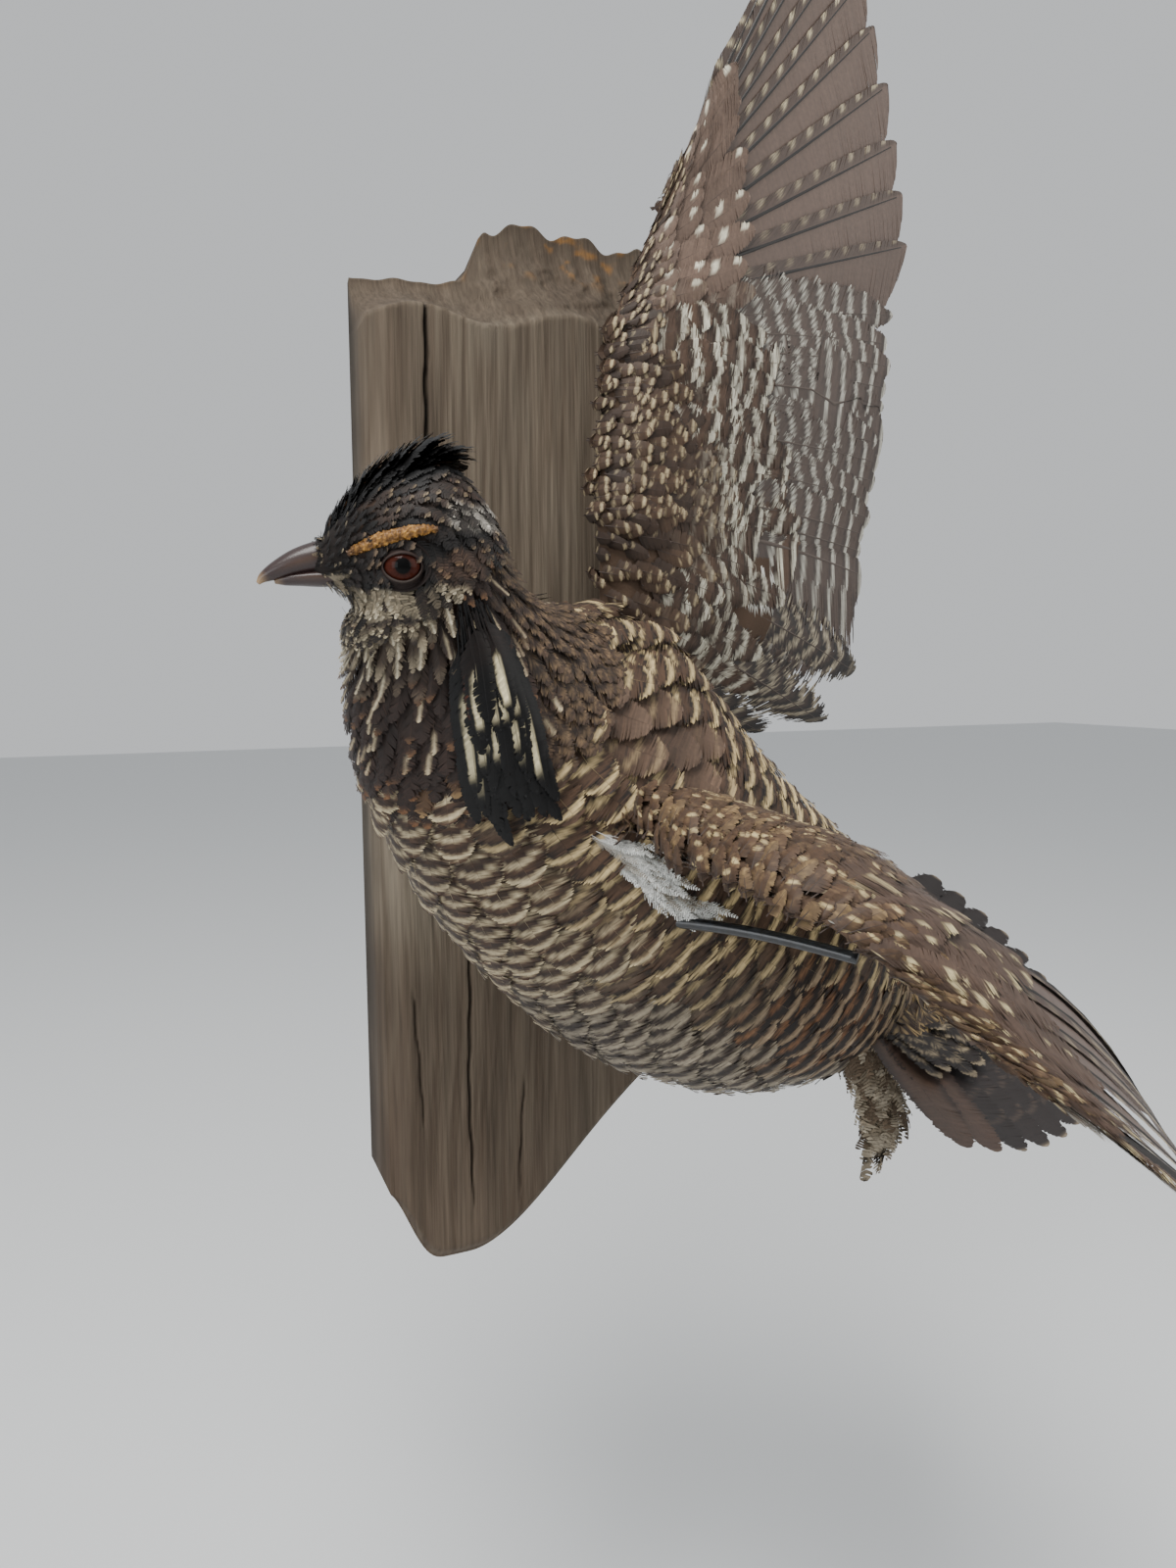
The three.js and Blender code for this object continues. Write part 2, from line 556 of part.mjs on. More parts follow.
// A leg tucked back beside the vent: thigh feathers, the feathered shank and the closed toes.
// Each station is at a place along the body's rings, `across` to the side and `rise` towards the
// back from the ring's centre.
const LEG = [
  { place: 2.25, across: 22, rise: -1, half: 9, deep: 8 },
  { place: 1.8, across: 31, rise: -4, half: 10, deep: 8 },
  { place: 1.27, across: 38, rise: -9, half: 8, deep: 6.5 },
  { place: 0.74, across: 44.5, rise: -15, half: 6.5, deep: 5 },
  { place: 0.38, across: 50, rise: -21.5, half: 6.5, deep: 4 },
  { place: 0.28, across: 55, rise: -28, half: 3.5, deep: 2 },
];
const RIGHT_LEG_TUCK = 0.82; // the right leg lies closer to the body

function legStations(side, tuck) {
  return LEG.map(({ place, across, rise, half, deep }) => {
    const { centre, left, up, ahead } = bodyAt(place);
    const at = centre.addScaledVector(left, side * tuck * across).addScaledVector(up, rise);
    return { at: at.toArray(), side: ahead.toArray(), half, deep };
  });
}

// ---------------------------------------------------------------- plaque

// Lower edge: a rounded tongue on the left that rises in a slant to the right side.
function plaqueBottom(x) {
  const slant = mix(PLAQUE_TIP, PLAQUE_SLANT_TOP, smooth(-30, 96, x) ** 0.9);
  const corner = 30 * (1 - smooth(PLAQUE_LEFT - 2, -40, x)) ** 1.6;
  return slant + corner;
}

// Upper edge: low on the left, then a broken crown.
function plaqueTop(x) {
  const crown = smooth(-18, -6, x);
  const broken = 5 * Math.sin(x * 0.21) * Math.sin(x * 0.083 + 1) + 2.5 * Math.sin(x * 0.53);
  return mix(PLAQUE_SHOULDER + 0.08 * (x - PLAQUE_LEFT), PLAQUE_TOP, crown) + broken * (0.3 + 0.7 * crown)
    - 12 * smooth(58, 76, x);
}

// Depth of the wood in front of its flat back.
function plaqueDepth(x, z) {
  const eroded = smooth(PLAQUE_LEDGE + 3 * Math.sin(x * 0.11), plaqueTop(x), z) ** 0.5;
  const edge = Math.min(x - PLAQUE_LEFT, PLAQUE_RIGHT - x, z - plaqueBottom(x));
  const rounded = 6 * (1 - smooth(0, 9, edge)) ** 2;
  const belly = 3.5 * Math.sin(x * 0.045 + 0.4) * Math.sin(z * 0.013 + 0.6);
  return mix(PLAQUE_THICK + belly - rounded, PLAQUE_TOP_THICK, eroded);
}

function plaqueSolid() {
  const front = [];
  const back = [];
  for (let r = 0; r <= PLAQUE_LEVELS; r += 1) {
    const level = r / PLAQUE_LEVELS;
    const faceRow = [];
    const backRow = [];
    for (let c = 0; c <= PLAQUE_COLUMNS; c += 1) {
      const x = mix(PLAQUE_LEFT, PLAQUE_RIGHT, c / PLAQUE_COLUMNS);
      const z = mix(plaqueBottom(x), plaqueTop(x), level);
      faceRow.push(new THREE.Vector3(x, -plaqueDepth(x, z), z));
      backRow.push(new THREE.Vector3(x, 0, z));
    }
    front.push(faceRow);
    back.push(backRow);
  }
  return solidFromSheets(front, back);
}

// ---------------------------------------------------------------- rods

function rod(from, to, radius, sides = 16) {
  const start = vec(from);
  const end = vec(to);
  const geometry = new THREE.CylinderGeometry(radius, radius, start.distanceTo(end), sides, 1);
  const turn = new THREE.Quaternion().setFromUnitVectors(new THREE.Vector3(0, 1, 0), end.clone().sub(start).normalize());
  const middle = start.add(end).multiplyScalar(0.5);
  return geometry.applyQuaternion(turn).translate(middle.x, middle.y, middle.z);
}

// A mounting rod stands on the plaque's face and runs into the bird's right side.
function mountRod(x, z) {
  const face = plaqueDepth(x, z) + 2 * GAP;
  return cutAway(rod([x, -face, z], [x, -110, z], ROD_RADIUS), [bodyGrown]);
}

// ---------------------------------------------------------------- assembly

const eyeSockets = [eyeball(1, GAP), eyeball(-1, GAP)];
const headParts = [
  ...eyeSockets, taper(BILL_UPPER, 10, GAP), taper(BILL_LOWER, 10, GAP),
  taper(COMB_LEFT, 10, GAP), taper(mirrorStations(COMB_LEFT), 10, GAP),
];
addMesh('plaque', plaqueSolid(), 'wood');
addMesh('mount_rod_front', mountRod(8, -20), 'steel');
addMesh('mount_rod_rear', mountRod(52, -70), 'steel');

addMesh('trunk', bodyLength(0, TRUNK_TO_NECK), 'breast');
addMesh('neck', cutAway(bodyLength(TRUNK_TO_NECK, NECK_TO_HEAD), eyeSockets), 'neck');
addMesh('head', cutAway(bodyLength(NECK_TO_HEAD, RING_END), headParts), 'head');

addMesh('bill_upper', taper(BILL_UPPER), 'horn');
addMesh('bill_lower', cutAway(taper(BILL_LOWER), [taper(BILL_UPPER, 10, GAP)]), 'horn');
addMesh('eye_left', eyeball(1), 'eye');
addMesh('eye_right', eyeball(-1), 'eye');
addMesh('comb_left', cutAway(taper(COMB_LEFT, 10), [eyeball(1, GAP)]), 'comb');
addMesh('comb_right', cutAway(taper(mirrorStations(COMB_LEFT), 10), [eyeball(-1, GAP)]), 'comb');
addMesh('crest', cutAway(taper(CREST), [bodyGrown]), 'black');
addMesh('pinna_left', cutAway(taper(bodyStations(PINNA, 1)), [bodyGrown]), 'black');
addMesh('pinna_right', cutAway(taper(bodyStations(PINNA, -1)), [bodyGrown]), 'black');
addMesh('leg_left', cutAway(taper(legStations(1, 1)), [bodyGrown]), 'neck');
addMesh('leg_right', cutAway(taper(legStations(-1, RIGHT_LEG_TUCK)), [bodyGrown]), 'neck');

for (const side of ['right', 'left']) {
  addMesh(`wing_${side}_inner`, cutAway(wingSolid(WINGS[side], false), [bodyGrown]), 'wing');
  addMesh(`wing_${side}_hand`, wingSolid(WINGS[side], true), 'wing');
}
addMesh('tail', cutAway(tailSolid(), [bodyGrown]), 'tail');
addMesh('wing_strut', cutAway(rod(STRUT_FROM, STRUT_TO, STRUT_RADIUS, 10), [bodyGrown]), 'wire');

export default bird;
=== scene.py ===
# %% [markdown]
# # A prairie chicken on driftwood
# This lesson dresses a wall mount of a male prairie chicken, a grouse, caught in a banking turn.
# The solids are already there as a fixed frame. Over them come one skin, thousands of feathers that
# are real thin meshes, a glass eye, a horn bill, and a slab of cracked driftwood.
# All lengths in the shape functions are millimetres. They turn to metres when a mesh is made.

# %% Load the frame
import bpy
import numpy as np
from mathutils import Matrix


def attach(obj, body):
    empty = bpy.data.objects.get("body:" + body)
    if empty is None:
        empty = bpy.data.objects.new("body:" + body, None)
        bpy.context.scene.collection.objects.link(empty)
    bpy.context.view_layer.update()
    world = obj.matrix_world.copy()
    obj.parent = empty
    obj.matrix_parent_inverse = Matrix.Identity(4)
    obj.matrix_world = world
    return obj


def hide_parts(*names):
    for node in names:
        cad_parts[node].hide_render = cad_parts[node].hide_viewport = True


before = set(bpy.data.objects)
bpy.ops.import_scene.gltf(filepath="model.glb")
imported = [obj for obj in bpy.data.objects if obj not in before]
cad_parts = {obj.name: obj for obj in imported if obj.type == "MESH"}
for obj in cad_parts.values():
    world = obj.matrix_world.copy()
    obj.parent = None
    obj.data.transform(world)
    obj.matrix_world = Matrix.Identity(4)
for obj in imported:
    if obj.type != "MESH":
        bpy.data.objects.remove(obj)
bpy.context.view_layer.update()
print("solids in the frame:", len(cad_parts))

# %% [markdown]
# ## Small sums used everywhere
# Blends, eased steps and unit vectors work on whole arrays, so a million points cost a moment.
# Colours are written as sRGB hex, as a painter would pick them, and one function turns them linear,
# because the renderer adds light in linear values.

# %% Array helpers and colour
MM = 0.001


def mix(a, b, t):
    """a moved towards b by the share t."""
    return a + (b - a) * t


def smooth(low, high, x):
    """0 below low, 1 above high, and an eased S between them."""
    t = np.clip((x - low) / (high - low), 0, 1)
    return t * t * (3 - 2 * t)


def unit(v):
    """Each vector divided by its length."""
    return v / np.maximum(np.linalg.norm(v, axis=-1, keepdims=True), 1e-9)


def linear(code):
    """Linear RGB of an sRGB hex colour: a power of 2.4 above a short straight toe."""
    s = np.array([int(code[i:i + 2], 16) for i in (1, 3, 5)]) / 255
    return np.where(s < 0.04045, s / 12.92, ((s + 0.055) / 1.055) ** 2.4)


print("mid grey is", linear("#808080").round(3))

# %% [markdown]
# ## Noise
# Feathers and weathered wood are never even. Value noise gives each corner of a lattice its own
# random number and eases between the corners. Summing a few sizes of it makes natural mottling.

# %% Value noise
LATTICE = np.random.default_rng(5).random((64, 64, 64))


def noise(p):
    """Noise from -1 to 1 at points p: the eight lattice corners round each, eased together."""
    cell = np.floor(p).astype(int)
    t = p - cell
    t = t * t * (3 - 2 * t)
    total = 0
    for corner in np.ndindex(2, 2, 2):
        i, j, k = ((cell + corner) % 64).reshape(-1, 3).T
        weight = np.prod(np.where(corner, t, 1 - t), axis=-1)
        total = total + weight * LATTICE[i, j, k].reshape(weight.shape)
    return 2 * total - 1


def mottling(p, sizes=(1, 2.1, 4.3)):
    """Layers of noise: each finer one is fainter by its own frequency."""
    return sum(noise(p * size + 9.7 * size) / size for size in sizes)


print("noise spread:", noise(np.random.default_rng(1).random((500, 3)) * 40).std().round(2))

# %% [markdown]
# ## Making a mesh from arrays
# Blender's operators are slow for so many pieces, so points and triangles go in with foreach_set.
# Each piece carries a colour on every point, called tint. A feather's bars lie where its barbs lie,
# so painting the points of the barbs is both sharp enough and true to how pigment sits.
# The map named OFBake gives every feather a tiny patch at its root's place on the unrolled skin.

# %% Mesh maker
def make_piece(name, points, triangles, material, tint=None, bake=None):
    """A mesh object at the origin from points in mm; tint and bake are per point."""
    mesh = bpy.data.meshes.new(name)
    points = np.asarray(points, np.float64).reshape(-1, 3) * MM
    triangles = np.asarray(triangles, np.int32).reshape(-1, 3)
    mesh.vertices.add(len(points))
    mesh.vertices.foreach_set("co", points.ravel())
    mesh.loops.add(triangles.size)
    mesh.loops.foreach_set("vertex_index", triangles.ravel())
    mesh.polygons.add(len(triangles))
    mesh.polygons.foreach_set("loop_start", np.arange(0, triangles.size, 3, dtype=np.int32))
    mesh.polygons.foreach_set("use_smooth", np.full(len(triangles), True))
    if tint is not None:
        layer = mesh.color_attributes.new("tint", "FLOAT_COLOR", "POINT")
        rgba = np.concatenate([np.clip(tint, 0, 1), np.ones((len(points), 1))], axis=1)
        layer.data.foreach_set("color", rgba.ravel())
    if bake is not None:
        layer = mesh.uv_layers.new(name="OFBake")
        layer.data.foreach_set("uv", bake[triangles.ravel()].ravel())
    mesh.update(calc_edges=True)
    mesh.materials.append(material)
    piece = bpy.data.objects.new(name, mesh)
    bpy.context.scene.collection.objects.link(piece)
    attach(piece, "root")
    print(f"{name}: {len(triangles)} triangles")
    return piece


def grid_triangles(rows, columns, round_rows=False):
    """Two triangles for each cell of a grid; round_rows joins the last column to the first."""
    cells = columns if round_rows else columns - 1
    r, c = np.meshgrid(np.arange(rows - 1), np.arange(cells), indexing="ij")
    a = (r * columns + c).ravel()
    b = (r * columns + (c + 1) % columns).ravel()
    first = np.stack([a, b, b + columns], 1)
    second = np.stack([a, b + columns, a + columns], 1)
    return np.concatenate([first, second])


def outward(points, triangles):
    """The triangles of a closed shape, turned so that its enclosed volume is positive."""
    a, b, c = (points[triangles[:, i]] for i in range(3))
    volume = np.einsum("ij,ij->", a - points.mean(0), np.cross(b - a, c - a))
    return triangles if volume > 0 else triangles[:, ::-1]


# %% [markdown]
# ## Making a material
# One helper adds a node with its settings and its links. Every finish here is built with it.
# Skin, horn, lids and combs share one recipe: the mesh's tint and a fine relief in the surface.

# %% Node helper
def add_node(material, kind, settings=None, links=None, **fields):
    """A node of that kind: fields are its own properties, settings and links its sockets by name."""
    node = material.node_tree.nodes.new(kind)
    for key, value in fields.items():
        setattr(node, key, value)
    for key, value in (settings or {}).items():
        node.inputs[key].default_value = value
    for key, socket in (links or {}).items():
        material.node_tree.links.new(socket, node.inputs[key])
    return node


def new_material(name):
    """An empty node material and its output node."""
    material = bpy.data.materials.new(name)
    material.use_nodes = True
    material.node_tree.nodes.clear()
    output = add_node(material, "ShaderNodeOutputMaterial")
    return material, output


def finish(material, output, settings, links=None):
    """The shader that ends every finish, a principled surface with those settings and links."""
    shader = add_node(material, "ShaderNodeBsdfPrincipled", settings, links)
    material.node_tree.links.new(shader.outputs[0], output.inputs[0])


def stretched_noise(material, place, stretch, detail, distortion=0.0):
    """The value of a noise drawn out along the axes: stretch is how often it changes in a metre."""
    scaled = add_node(material, "ShaderNodeMapping", {"Scale": stretch}, {"Vector": place.outputs["Object"]})
    texture = add_node(material, "ShaderNodeTexNoise",
                       {"Scale": 1.0, "Detail": detail, "Distortion": distortion},
                       {"Vector": scaled.outputs["Vector"]})
    return texture.outputs["Fac"]


def relief_material(name, texture, settings, strength, depth, surface, invert=False):
    """Tint for the colour, a texture's first value for the height of a bump, and a surface."""
    material, output = new_material(name)
    tint = add_node(material, "ShaderNodeAttribute", attribute_name="tint")
    place = add_node(material, "ShaderNodeTexCoord")
    relief = add_node(material, texture, settings, {"Vector": place.outputs["Object"]})
    bump = add_node(material, "ShaderNodeBump", {"Strength": strength, "Distance": depth},
                    {"Height": relief.outputs[0]}, invert=invert)
    finish(material, output, surface,
           {"Base Color": tint.outputs["Color"], "Normal": bump.outputs["Normal"]})
    return material


def set_ramp(node, stops):
    """Colours a ramp node from pairs of place and hex colour."""
    ramp = node.color_ramp
    while len(ramp.elements) < len(stops):
        ramp.elements.new(0.5)
    for element, (place, code) in zip(ramp.elements, stops):
        element.position = place
        element.color = (*linear(code), 1)
    return node


# %% [markdown]
# ## Camera, light and floor
# A wide lens stands close to the bird, low and to its left, so the wing that reaches forward looms.
# A museum lights a mount from above, so a big soft panel hangs at the upper left, and two fainter
# ones fill the shadows from the sides. The floor is plain, pale and well below the slab.

# %% Camera
LENS_PIXELS = 1200
FRAME_SIZE = (1200, 1600)
CAMERA_AT = np.array([-152.9, -479.5, 34.0])
PAN, TILT, ROLL = np.radians([21.8, -5.96, -0.44])

forward = np.array([np.sin(PAN) * np.cos(TILT), np.cos(PAN) * np.cos(TILT), np.sin(TILT)])
level = np.array([np.cos(PAN), -np.sin(PAN), 0.0])
upright = np.cross(level, forward)
across = np.cos(ROLL) * level + np.sin(ROLL) * upright
upward = -np.sin(ROLL) * level + np.cos(ROLL) * upright
lens = bpy.data.cameras.new("wall_view")
lens.sensor_width = 36
lens.sensor_fit = "AUTO"
lens.lens = 36 * LENS_PIXELS / max(FRAME_SIZE)
camera = bpy.data.objects.new("wall_view", lens)
bpy.context.scene.collection.objects.link(camera)
turn = np.eye(4)
turn[:3, :3] = np.stack([across, upward, -forward], axis=1)
turn[:3, 3] = CAMERA_AT * MM
camera.matrix_world = Matrix(turn.tolist())
bpy.context.scene.camera = camera
print("lens", round(lens.lens, 1), "mm")

# %% [markdown]
# ## Lights and floor
# Lamps are flat squares, because a broad source gives soft shadows between feathers.

# %% Lights, world and floor
def soft_panel(name, place, aim, size, power, colour):
    """A square lamp at place that faces aim, both in metres."""
    lamp = bpy.data.lights.new(name, "AREA")
    lamp.size = size
    lamp.energy = power
    lamp.color = colour
    holder = bpy.data.objects.new(name, lamp)
    back = unit(np.array(place) - np.array(aim))
    side = unit(np.cross([0, 0, 1], back))
    stand = np.eye(4)
    stand[:3, :3] = np.stack([side, np.cross(back, side), back], axis=1)
    stand[:3, 3] = place
    holder.matrix_world = Matrix(stand.tolist())
    bpy.context.scene.collection.objects.link(holder)


soft_panel("ceiling_panel", (-0.5, -0.7, 1.5), (0, -0.1, 0), 1.0, 42, (1.0, 0.98, 0.95))
soft_panel("side_panel", (-1.3, -1.0, 0.2), (0, -0.1, 0), 0.9, 9, (0.95, 0.98, 1.0))
soft_panel("fill_panel", (1.3, -1.0, 0.5), (0, -0.1, 0), 1.2, 8, (1.0, 0.97, 0.92))
world = bpy.data.worlds.new("pale_room")
bpy.context.scene.world = world
world.use_nodes = True
world.node_tree.nodes["Background"].inputs["Color"].default_value = (0.86, 0.88, 0.90, 1)
world.node_tree.nodes["Background"].inputs["Strength"].default_value = 0.74

FLOOR_Z = -0.42
FLOOR_HALF = 6.0
floor_paint, output = new_material("matt floor paint")
finish(floor_paint, output, {"Roughness": 0.9, "Base Color": (*linear("#d5d7d8"), 1)})
floor_mesh = bpy.data.meshes.new("floor")
corners = [(x * FLOOR_HALF, y * FLOOR_HALF, FLOOR_Z) for x, y in ((-1, -1), (1, -1), (1, 1), (-1, 1))]
floor_mesh.from_pydata(corners, [], [(0, 1, 2, 3)])
floor_mesh.materials.append(floor_paint)
floor = bpy.data.objects.new("floor", floor_mesh)
bpy.context.scene.collection.objects.link(floor)
print("floor", round(-FLOOR_Z / MM), "mm below the slab's middle")

# %% [markdown]
# ## The bird's own surface
# The stuffed body is a row of rings from the tail to the bill. Each ring has a centre, a way ahead,
# a way up and three sizes. A smooth curve runs through all the rings at once, so any place between
# them has its own ring too. The same rings gave the solids, so the plumage follows them.

# %% Rings of the body
BODY_RINGS = np.array([
    [130, -105, -98, -0.87, 0.22, 0.44, 0.36, -0.54, 0.76, 9, 5, 6],
    [119, -102, -93, -0.87, 0.20, 0.45, 0.38, -0.55, 0.74, 28, 20, 25],
    [103, -101, -88, -0.86, 0.10, 0.50, 0.43, -0.58, 0.70, 41, 35, 43],
    [72, -104, -77, -0.83, 0.00, 0.55, 0.46, -0.60, 0.66, 51, 50, 57],
    [30, -108, -54, -0.80, -0.05, 0.60, 0.49, -0.60, 0.63, 56, 58, 62],
    [-12, -115, -19, -0.74, -0.16, 0.65, 0.52, -0.58, 0.62, 55, 54, 57],
    [-44, -127, 12, -0.58, -0.34, 0.73, 0.62, -0.60, 0.50, 46, 44, 45],
    [-61, -143, 33, -0.46, -0.38, 0.80, 0.80, -0.33, 0.47, 33, 34, 34],
    [-69, -154.5, 46, -0.44, -0.30, 0.85, 0.89, -0.08, 0.44, 25, 27, 28],
    [-74, -165, 57, -0.54, -0.15, 0.83, 0.83, -0.06, 0.55, 19, 24, 25.5],
    [-80, -169.5, 66, -0.82, 0.06, 0.56, 0.56, -0.05, 0.83, 16, 22.5, 24.5],
    [-90, -169.5, 66, -0.94, 0.14, 0.30, 0.31, -0.06, 0.95, 13, 17.5, 17],
    [-97, -168.8, 63.5, -0.98, 0.15, 0.10, 0.12, -0.05, 0.99, 9, 11.5, 11.5],
    [-102, -168.1, 60, -0.98, 0.15, -0.10, -0.08, -0.04, 0.99, 6, 6, 6.2],
    [-105, -167.7, 59.4, -0.98, 0.15, -0.15, -0.13, -0.04, 0.99, 3, 3, 3],
])
SHOULDER = {"place": 5.35, "turn": -57, "rise": 25, "length": 0.95, "width": 34}


def through(rows, t):
    """A Catmull-Rom curve through rows of numbers: each row is a knot at a whole t."""
    last = len(rows) - 1
    low = np.clip(np.floor(t).astype(int), 0, last - 1)
    t = (t - low)[..., None]
    p0, p1, p2, p3 = (rows[np.clip(low + step, 0, last)] for step in (-1, 0, 1, 2))
    return 0.5 * (2 * p1 + (p2 - p0) * t + (2 * p0 - 5 * p1 + 4 * p2 - p3) * t ** 2
                  + (3 * p1 - p0 - 3 * p2 + p3) * t ** 3)


def body_at(place):
    """Centre, left, up, ahead and the three sizes of the ring at a place."""
    v = through(BODY_RINGS, place)
    ahead = unit(v[..., 3:6])
    left = unit(np.cross(v[..., 6:9], ahead))
    return v[..., :3], left, np.cross(ahead, left), ahead, v[..., 9], v[..., 10], v[..., 11]


def body_point(place, turn_degrees, grow=0.0):
    """A point on the body: centre plus left times the half width and up times the height.
    The turn is 0 on the back, 90 on the left side and 180 below. The raised arm adds a mound."""
    place, turn_degrees = np.broadcast_arrays(np.asarray(place, float), np.asarray(turn_degrees, float))
    centre, left, up, _, half, back, belly = body_at(place)
    angle = np.radians(turn_degrees)
    off = (turn_degrees - SHOULDER["turn"] + 180) % 360 - 180
    mound = SHOULDER["rise"] * np.exp(-((place - SHOULDER["place"]) / SHOULDER["length"]) ** 2)
    mound = mound * np.exp(-(off / SHOULDER["width"]) ** 2)
    high = np.where(np.cos(angle) > 0, back, belly)
    wide = ((half + grow + mound) * np.sin(angle))[..., None]
    tall = ((high + grow + mound) * np.cos(angle))[..., None]
    return centre + left * wide + up * tall


ring = body_point(5, np.arange(0, 361, 5))
print("girth at the wings:", round(float(np.linalg.norm(np.diff(ring, axis=0), axis=1).sum())), "mm")

# %% [markdown]
# ## The wing as a sheet
# A wing is laid out flat first: along from the shoulder, behind to the trailing edge. Each flight
# feather owns one line from the leading edge to its tip. Then the arm and the hand get a plane each
# and the sheet turns smoothly from one to the other round the wrist, as the real joint does.
# A tertial has a root, a turn in degrees and a length. Droop and spread are for the whole wing.

# %% Wing layout
WRIST = np.array([88.0, -4.0])
ELBOW = np.array([42.0, 30.0])
HAND_TIP = np.array([139.0, 19.0])
TERTIALS, SECONDARIES, PRIMARIES = 3, 14, 10
FIRST_PRIMARY = TERTIALS + SECONDARIES
QUILLS = FIRST_PRIMARY + PRIMARIES
PRIMARY_LENGTHS = np.array([146, 145, 145, 146, 147, 149, 151, 154, 150, 133.0])
PRIMARY_ANGLES = np.array([26, 32, 38, 45, 52, 57.5, 62, 66.5, 70, 72.5])
WINGS = {
    "right": {
        "shoulder": [10.4, -84, 60.2], "wrist": [20.7, -87, 150.6], "arm_back": [0.977, 0.18, -0.106],
        "hand_along": [0.115, -0.01, 0.993], "hand_back": [0.975, 0.17, -0.11], "side": 1,
        "secondary_turn": [19, -8], "secondary_lengths": [139, 102],
        "tertials": [(-8, 8, -24, 92), (2, 14, -20, 118), (14, 22, -14, 122)], "droop": 4, "spread": 1.0},
    "left": {
        "shoulder": [-12.7, -167.5, -14.8], "wrist": [0, -246.4, -26.4], "arm_back": [0.98, 0.168, -0.067],
        "hand_along": [0.463, -0.651, -0.599], "hand_back": [0.762, 0.636, -0.102], "side": -1,
        "secondary_turn": [4, -44], "secondary_lengths": [124, 98],
        "tertials": [(-8, 8, -66, 62), (2, 14, -60, 84), (14, 22, -54, 92)], "droop": 45, "spread": 1.04},
}


def swung(root, degrees, length):
    """The end of a line of that length from root, turned from straight back towards the wing tip."""
    angle = np.radians(degrees)
    return root + np.stack([length * np.sin(angle), length * np.cos(angle)], axis=-1)


def quill_roots(wing):
    """Where the quills leave the bone: tertials, then secondaries, then primaries."""
    t = np.linspace(0, 1, SECONDARIES)
    secondaries = np.stack([mix(ELBOW[0], WRIST[0] - 2, t), mix(ELBOW[1], WRIST[1] + 4, t)], 1)
    t = np.linspace(0, 1, PRIMARIES)
    primaries = np.stack([mix(WRIST[0] + 4, HAND_TIP[0], t), mix(WRIST[1] + 5, HAND_TIP[1], t)], 1)
    return np.array(wing["tertials"], float)[:, :2], secondaries, primaries


def wing_lines(wing):
    """Leading edge point, tip point and arm number of each flight feather: 3 tertials, 14
    secondaries and 10 primaries. The arm number is 0 at the shoulder, 1 at the wrist, 2 at the end."""
    tertials, secondaries, primaries = quill_roots(wing)
    turned_by, long = np.array(wing["tertials"], float)[:, 2:].T
    k = np.linspace(0, 1, TERTIALS)
    leads = [np.stack([mix(-22, 14, k), mix(0, -5, k)], 1)]
    tips = [swung(tertials, turned_by, long)]
    arms = [0.1 * k]
    t = np.linspace(0, 1, SECONDARIES)
    turned_by = mix(wing["secondary_turn"][1], wing["secondary_turn"][0], t)
    long = mix(wing["secondary_lengths"][1], wing["secondary_lengths"][0], t)
    leads.append(np.stack([mix(24, WRIST[0], t), mix(-8, WRIST[1] - 4, t)], 1))
    tips.append(swung(secondaries, turned_by, long))
    arms.append(mix(0.15, 0.95, t))
    t = np.linspace(0, 1, PRIMARIES)
    outermost = PRIMARY_ANGLES[-1]
    turned_by = outermost - (outermost - PRIMARY_ANGLES) * wing["spread"]
    leads.append(np.stack([mix(WRIST[0] + 4, HAND_TIP[0] + 4, t), mix(WRIST[1] - 3, HAND_TIP[1] - 7, t)], 1))
    tips.append(swung(primaries, turned_by, PRIMARY_LENGTHS))
    arms.append(1.05 + 0.95 * t)
    return np.concatenate(leads), np.concatenate(tips), np.concatenate(arms)


def wing_frame(along_axis, back_axis, side):
    """Unit vectors along, behind and above for one plane of a wing."""
    x = unit(np.asarray(along_axis, float))
    z = unit(np.cross(back_axis, x) * side)
    return x, unit(np.cross(x, z) * side), z


def wing_point(wing, v, q, above=0.0):
    """A point of the wing sheet: q counts flight feathers from the body, v runs from the leading
    edge to the tip. The sheet arches over the chord and droops to the rear; arm and hand blend."""
    v, q = np.broadcast_arrays(np.asarray(v, float), np.asarray(q, float))
    leads, tips, arms = wing_lines(wing)
    low = np.clip(np.floor(q).astype(int), 0, len(arms) - 2)
    t = q - low
    lead = mix(leads[low], leads[low + 1], t[..., None])
    tip = mix(tips[low], tips[low + 1], t[..., None])
    arm = mix(arms[low], arms[low + 1], t)
    flat = mix(lead, tip, v[..., None])
    chord = np.linalg.norm(tip - lead, axis=-1)
    arch = mix(0.07, 0.015, smooth(0.7, 1.6, arm))
    sag = np.where(arm < 1, mix(0.6, 1, arm), 2 - arm)
    bow = np.sin(np.pi * np.clip(v, 0, 1) ** 0.7)
    height = (arch * chord * bow - wing["droop"] * sag * v ** 2 + above)[..., None]
    shoulder, wrist = np.array(wing["shoulder"], float), np.array(wing["wrist"], float)
    x, y, z = wing_frame(wrist - shoulder, wing["arm_back"], wing["side"])
    reach = np.linalg.norm(wrist - shoulder) / np.linalg.norm(WRIST)
    a, b = flat[..., :1], flat[..., 1:]
    on_arm = shoulder + x * a * np.where(a < WRIST[0], reach, 1) + y * b + z * height
    x, y, z = wing_frame(wing["hand_along"], wing["hand_back"], wing["side"])
    on_hand = wrist + x * (a - WRIST[0]) + y * b + z * height
    return mix(on_arm, on_hand, smooth(0.3, 1.7, arm)[..., None])


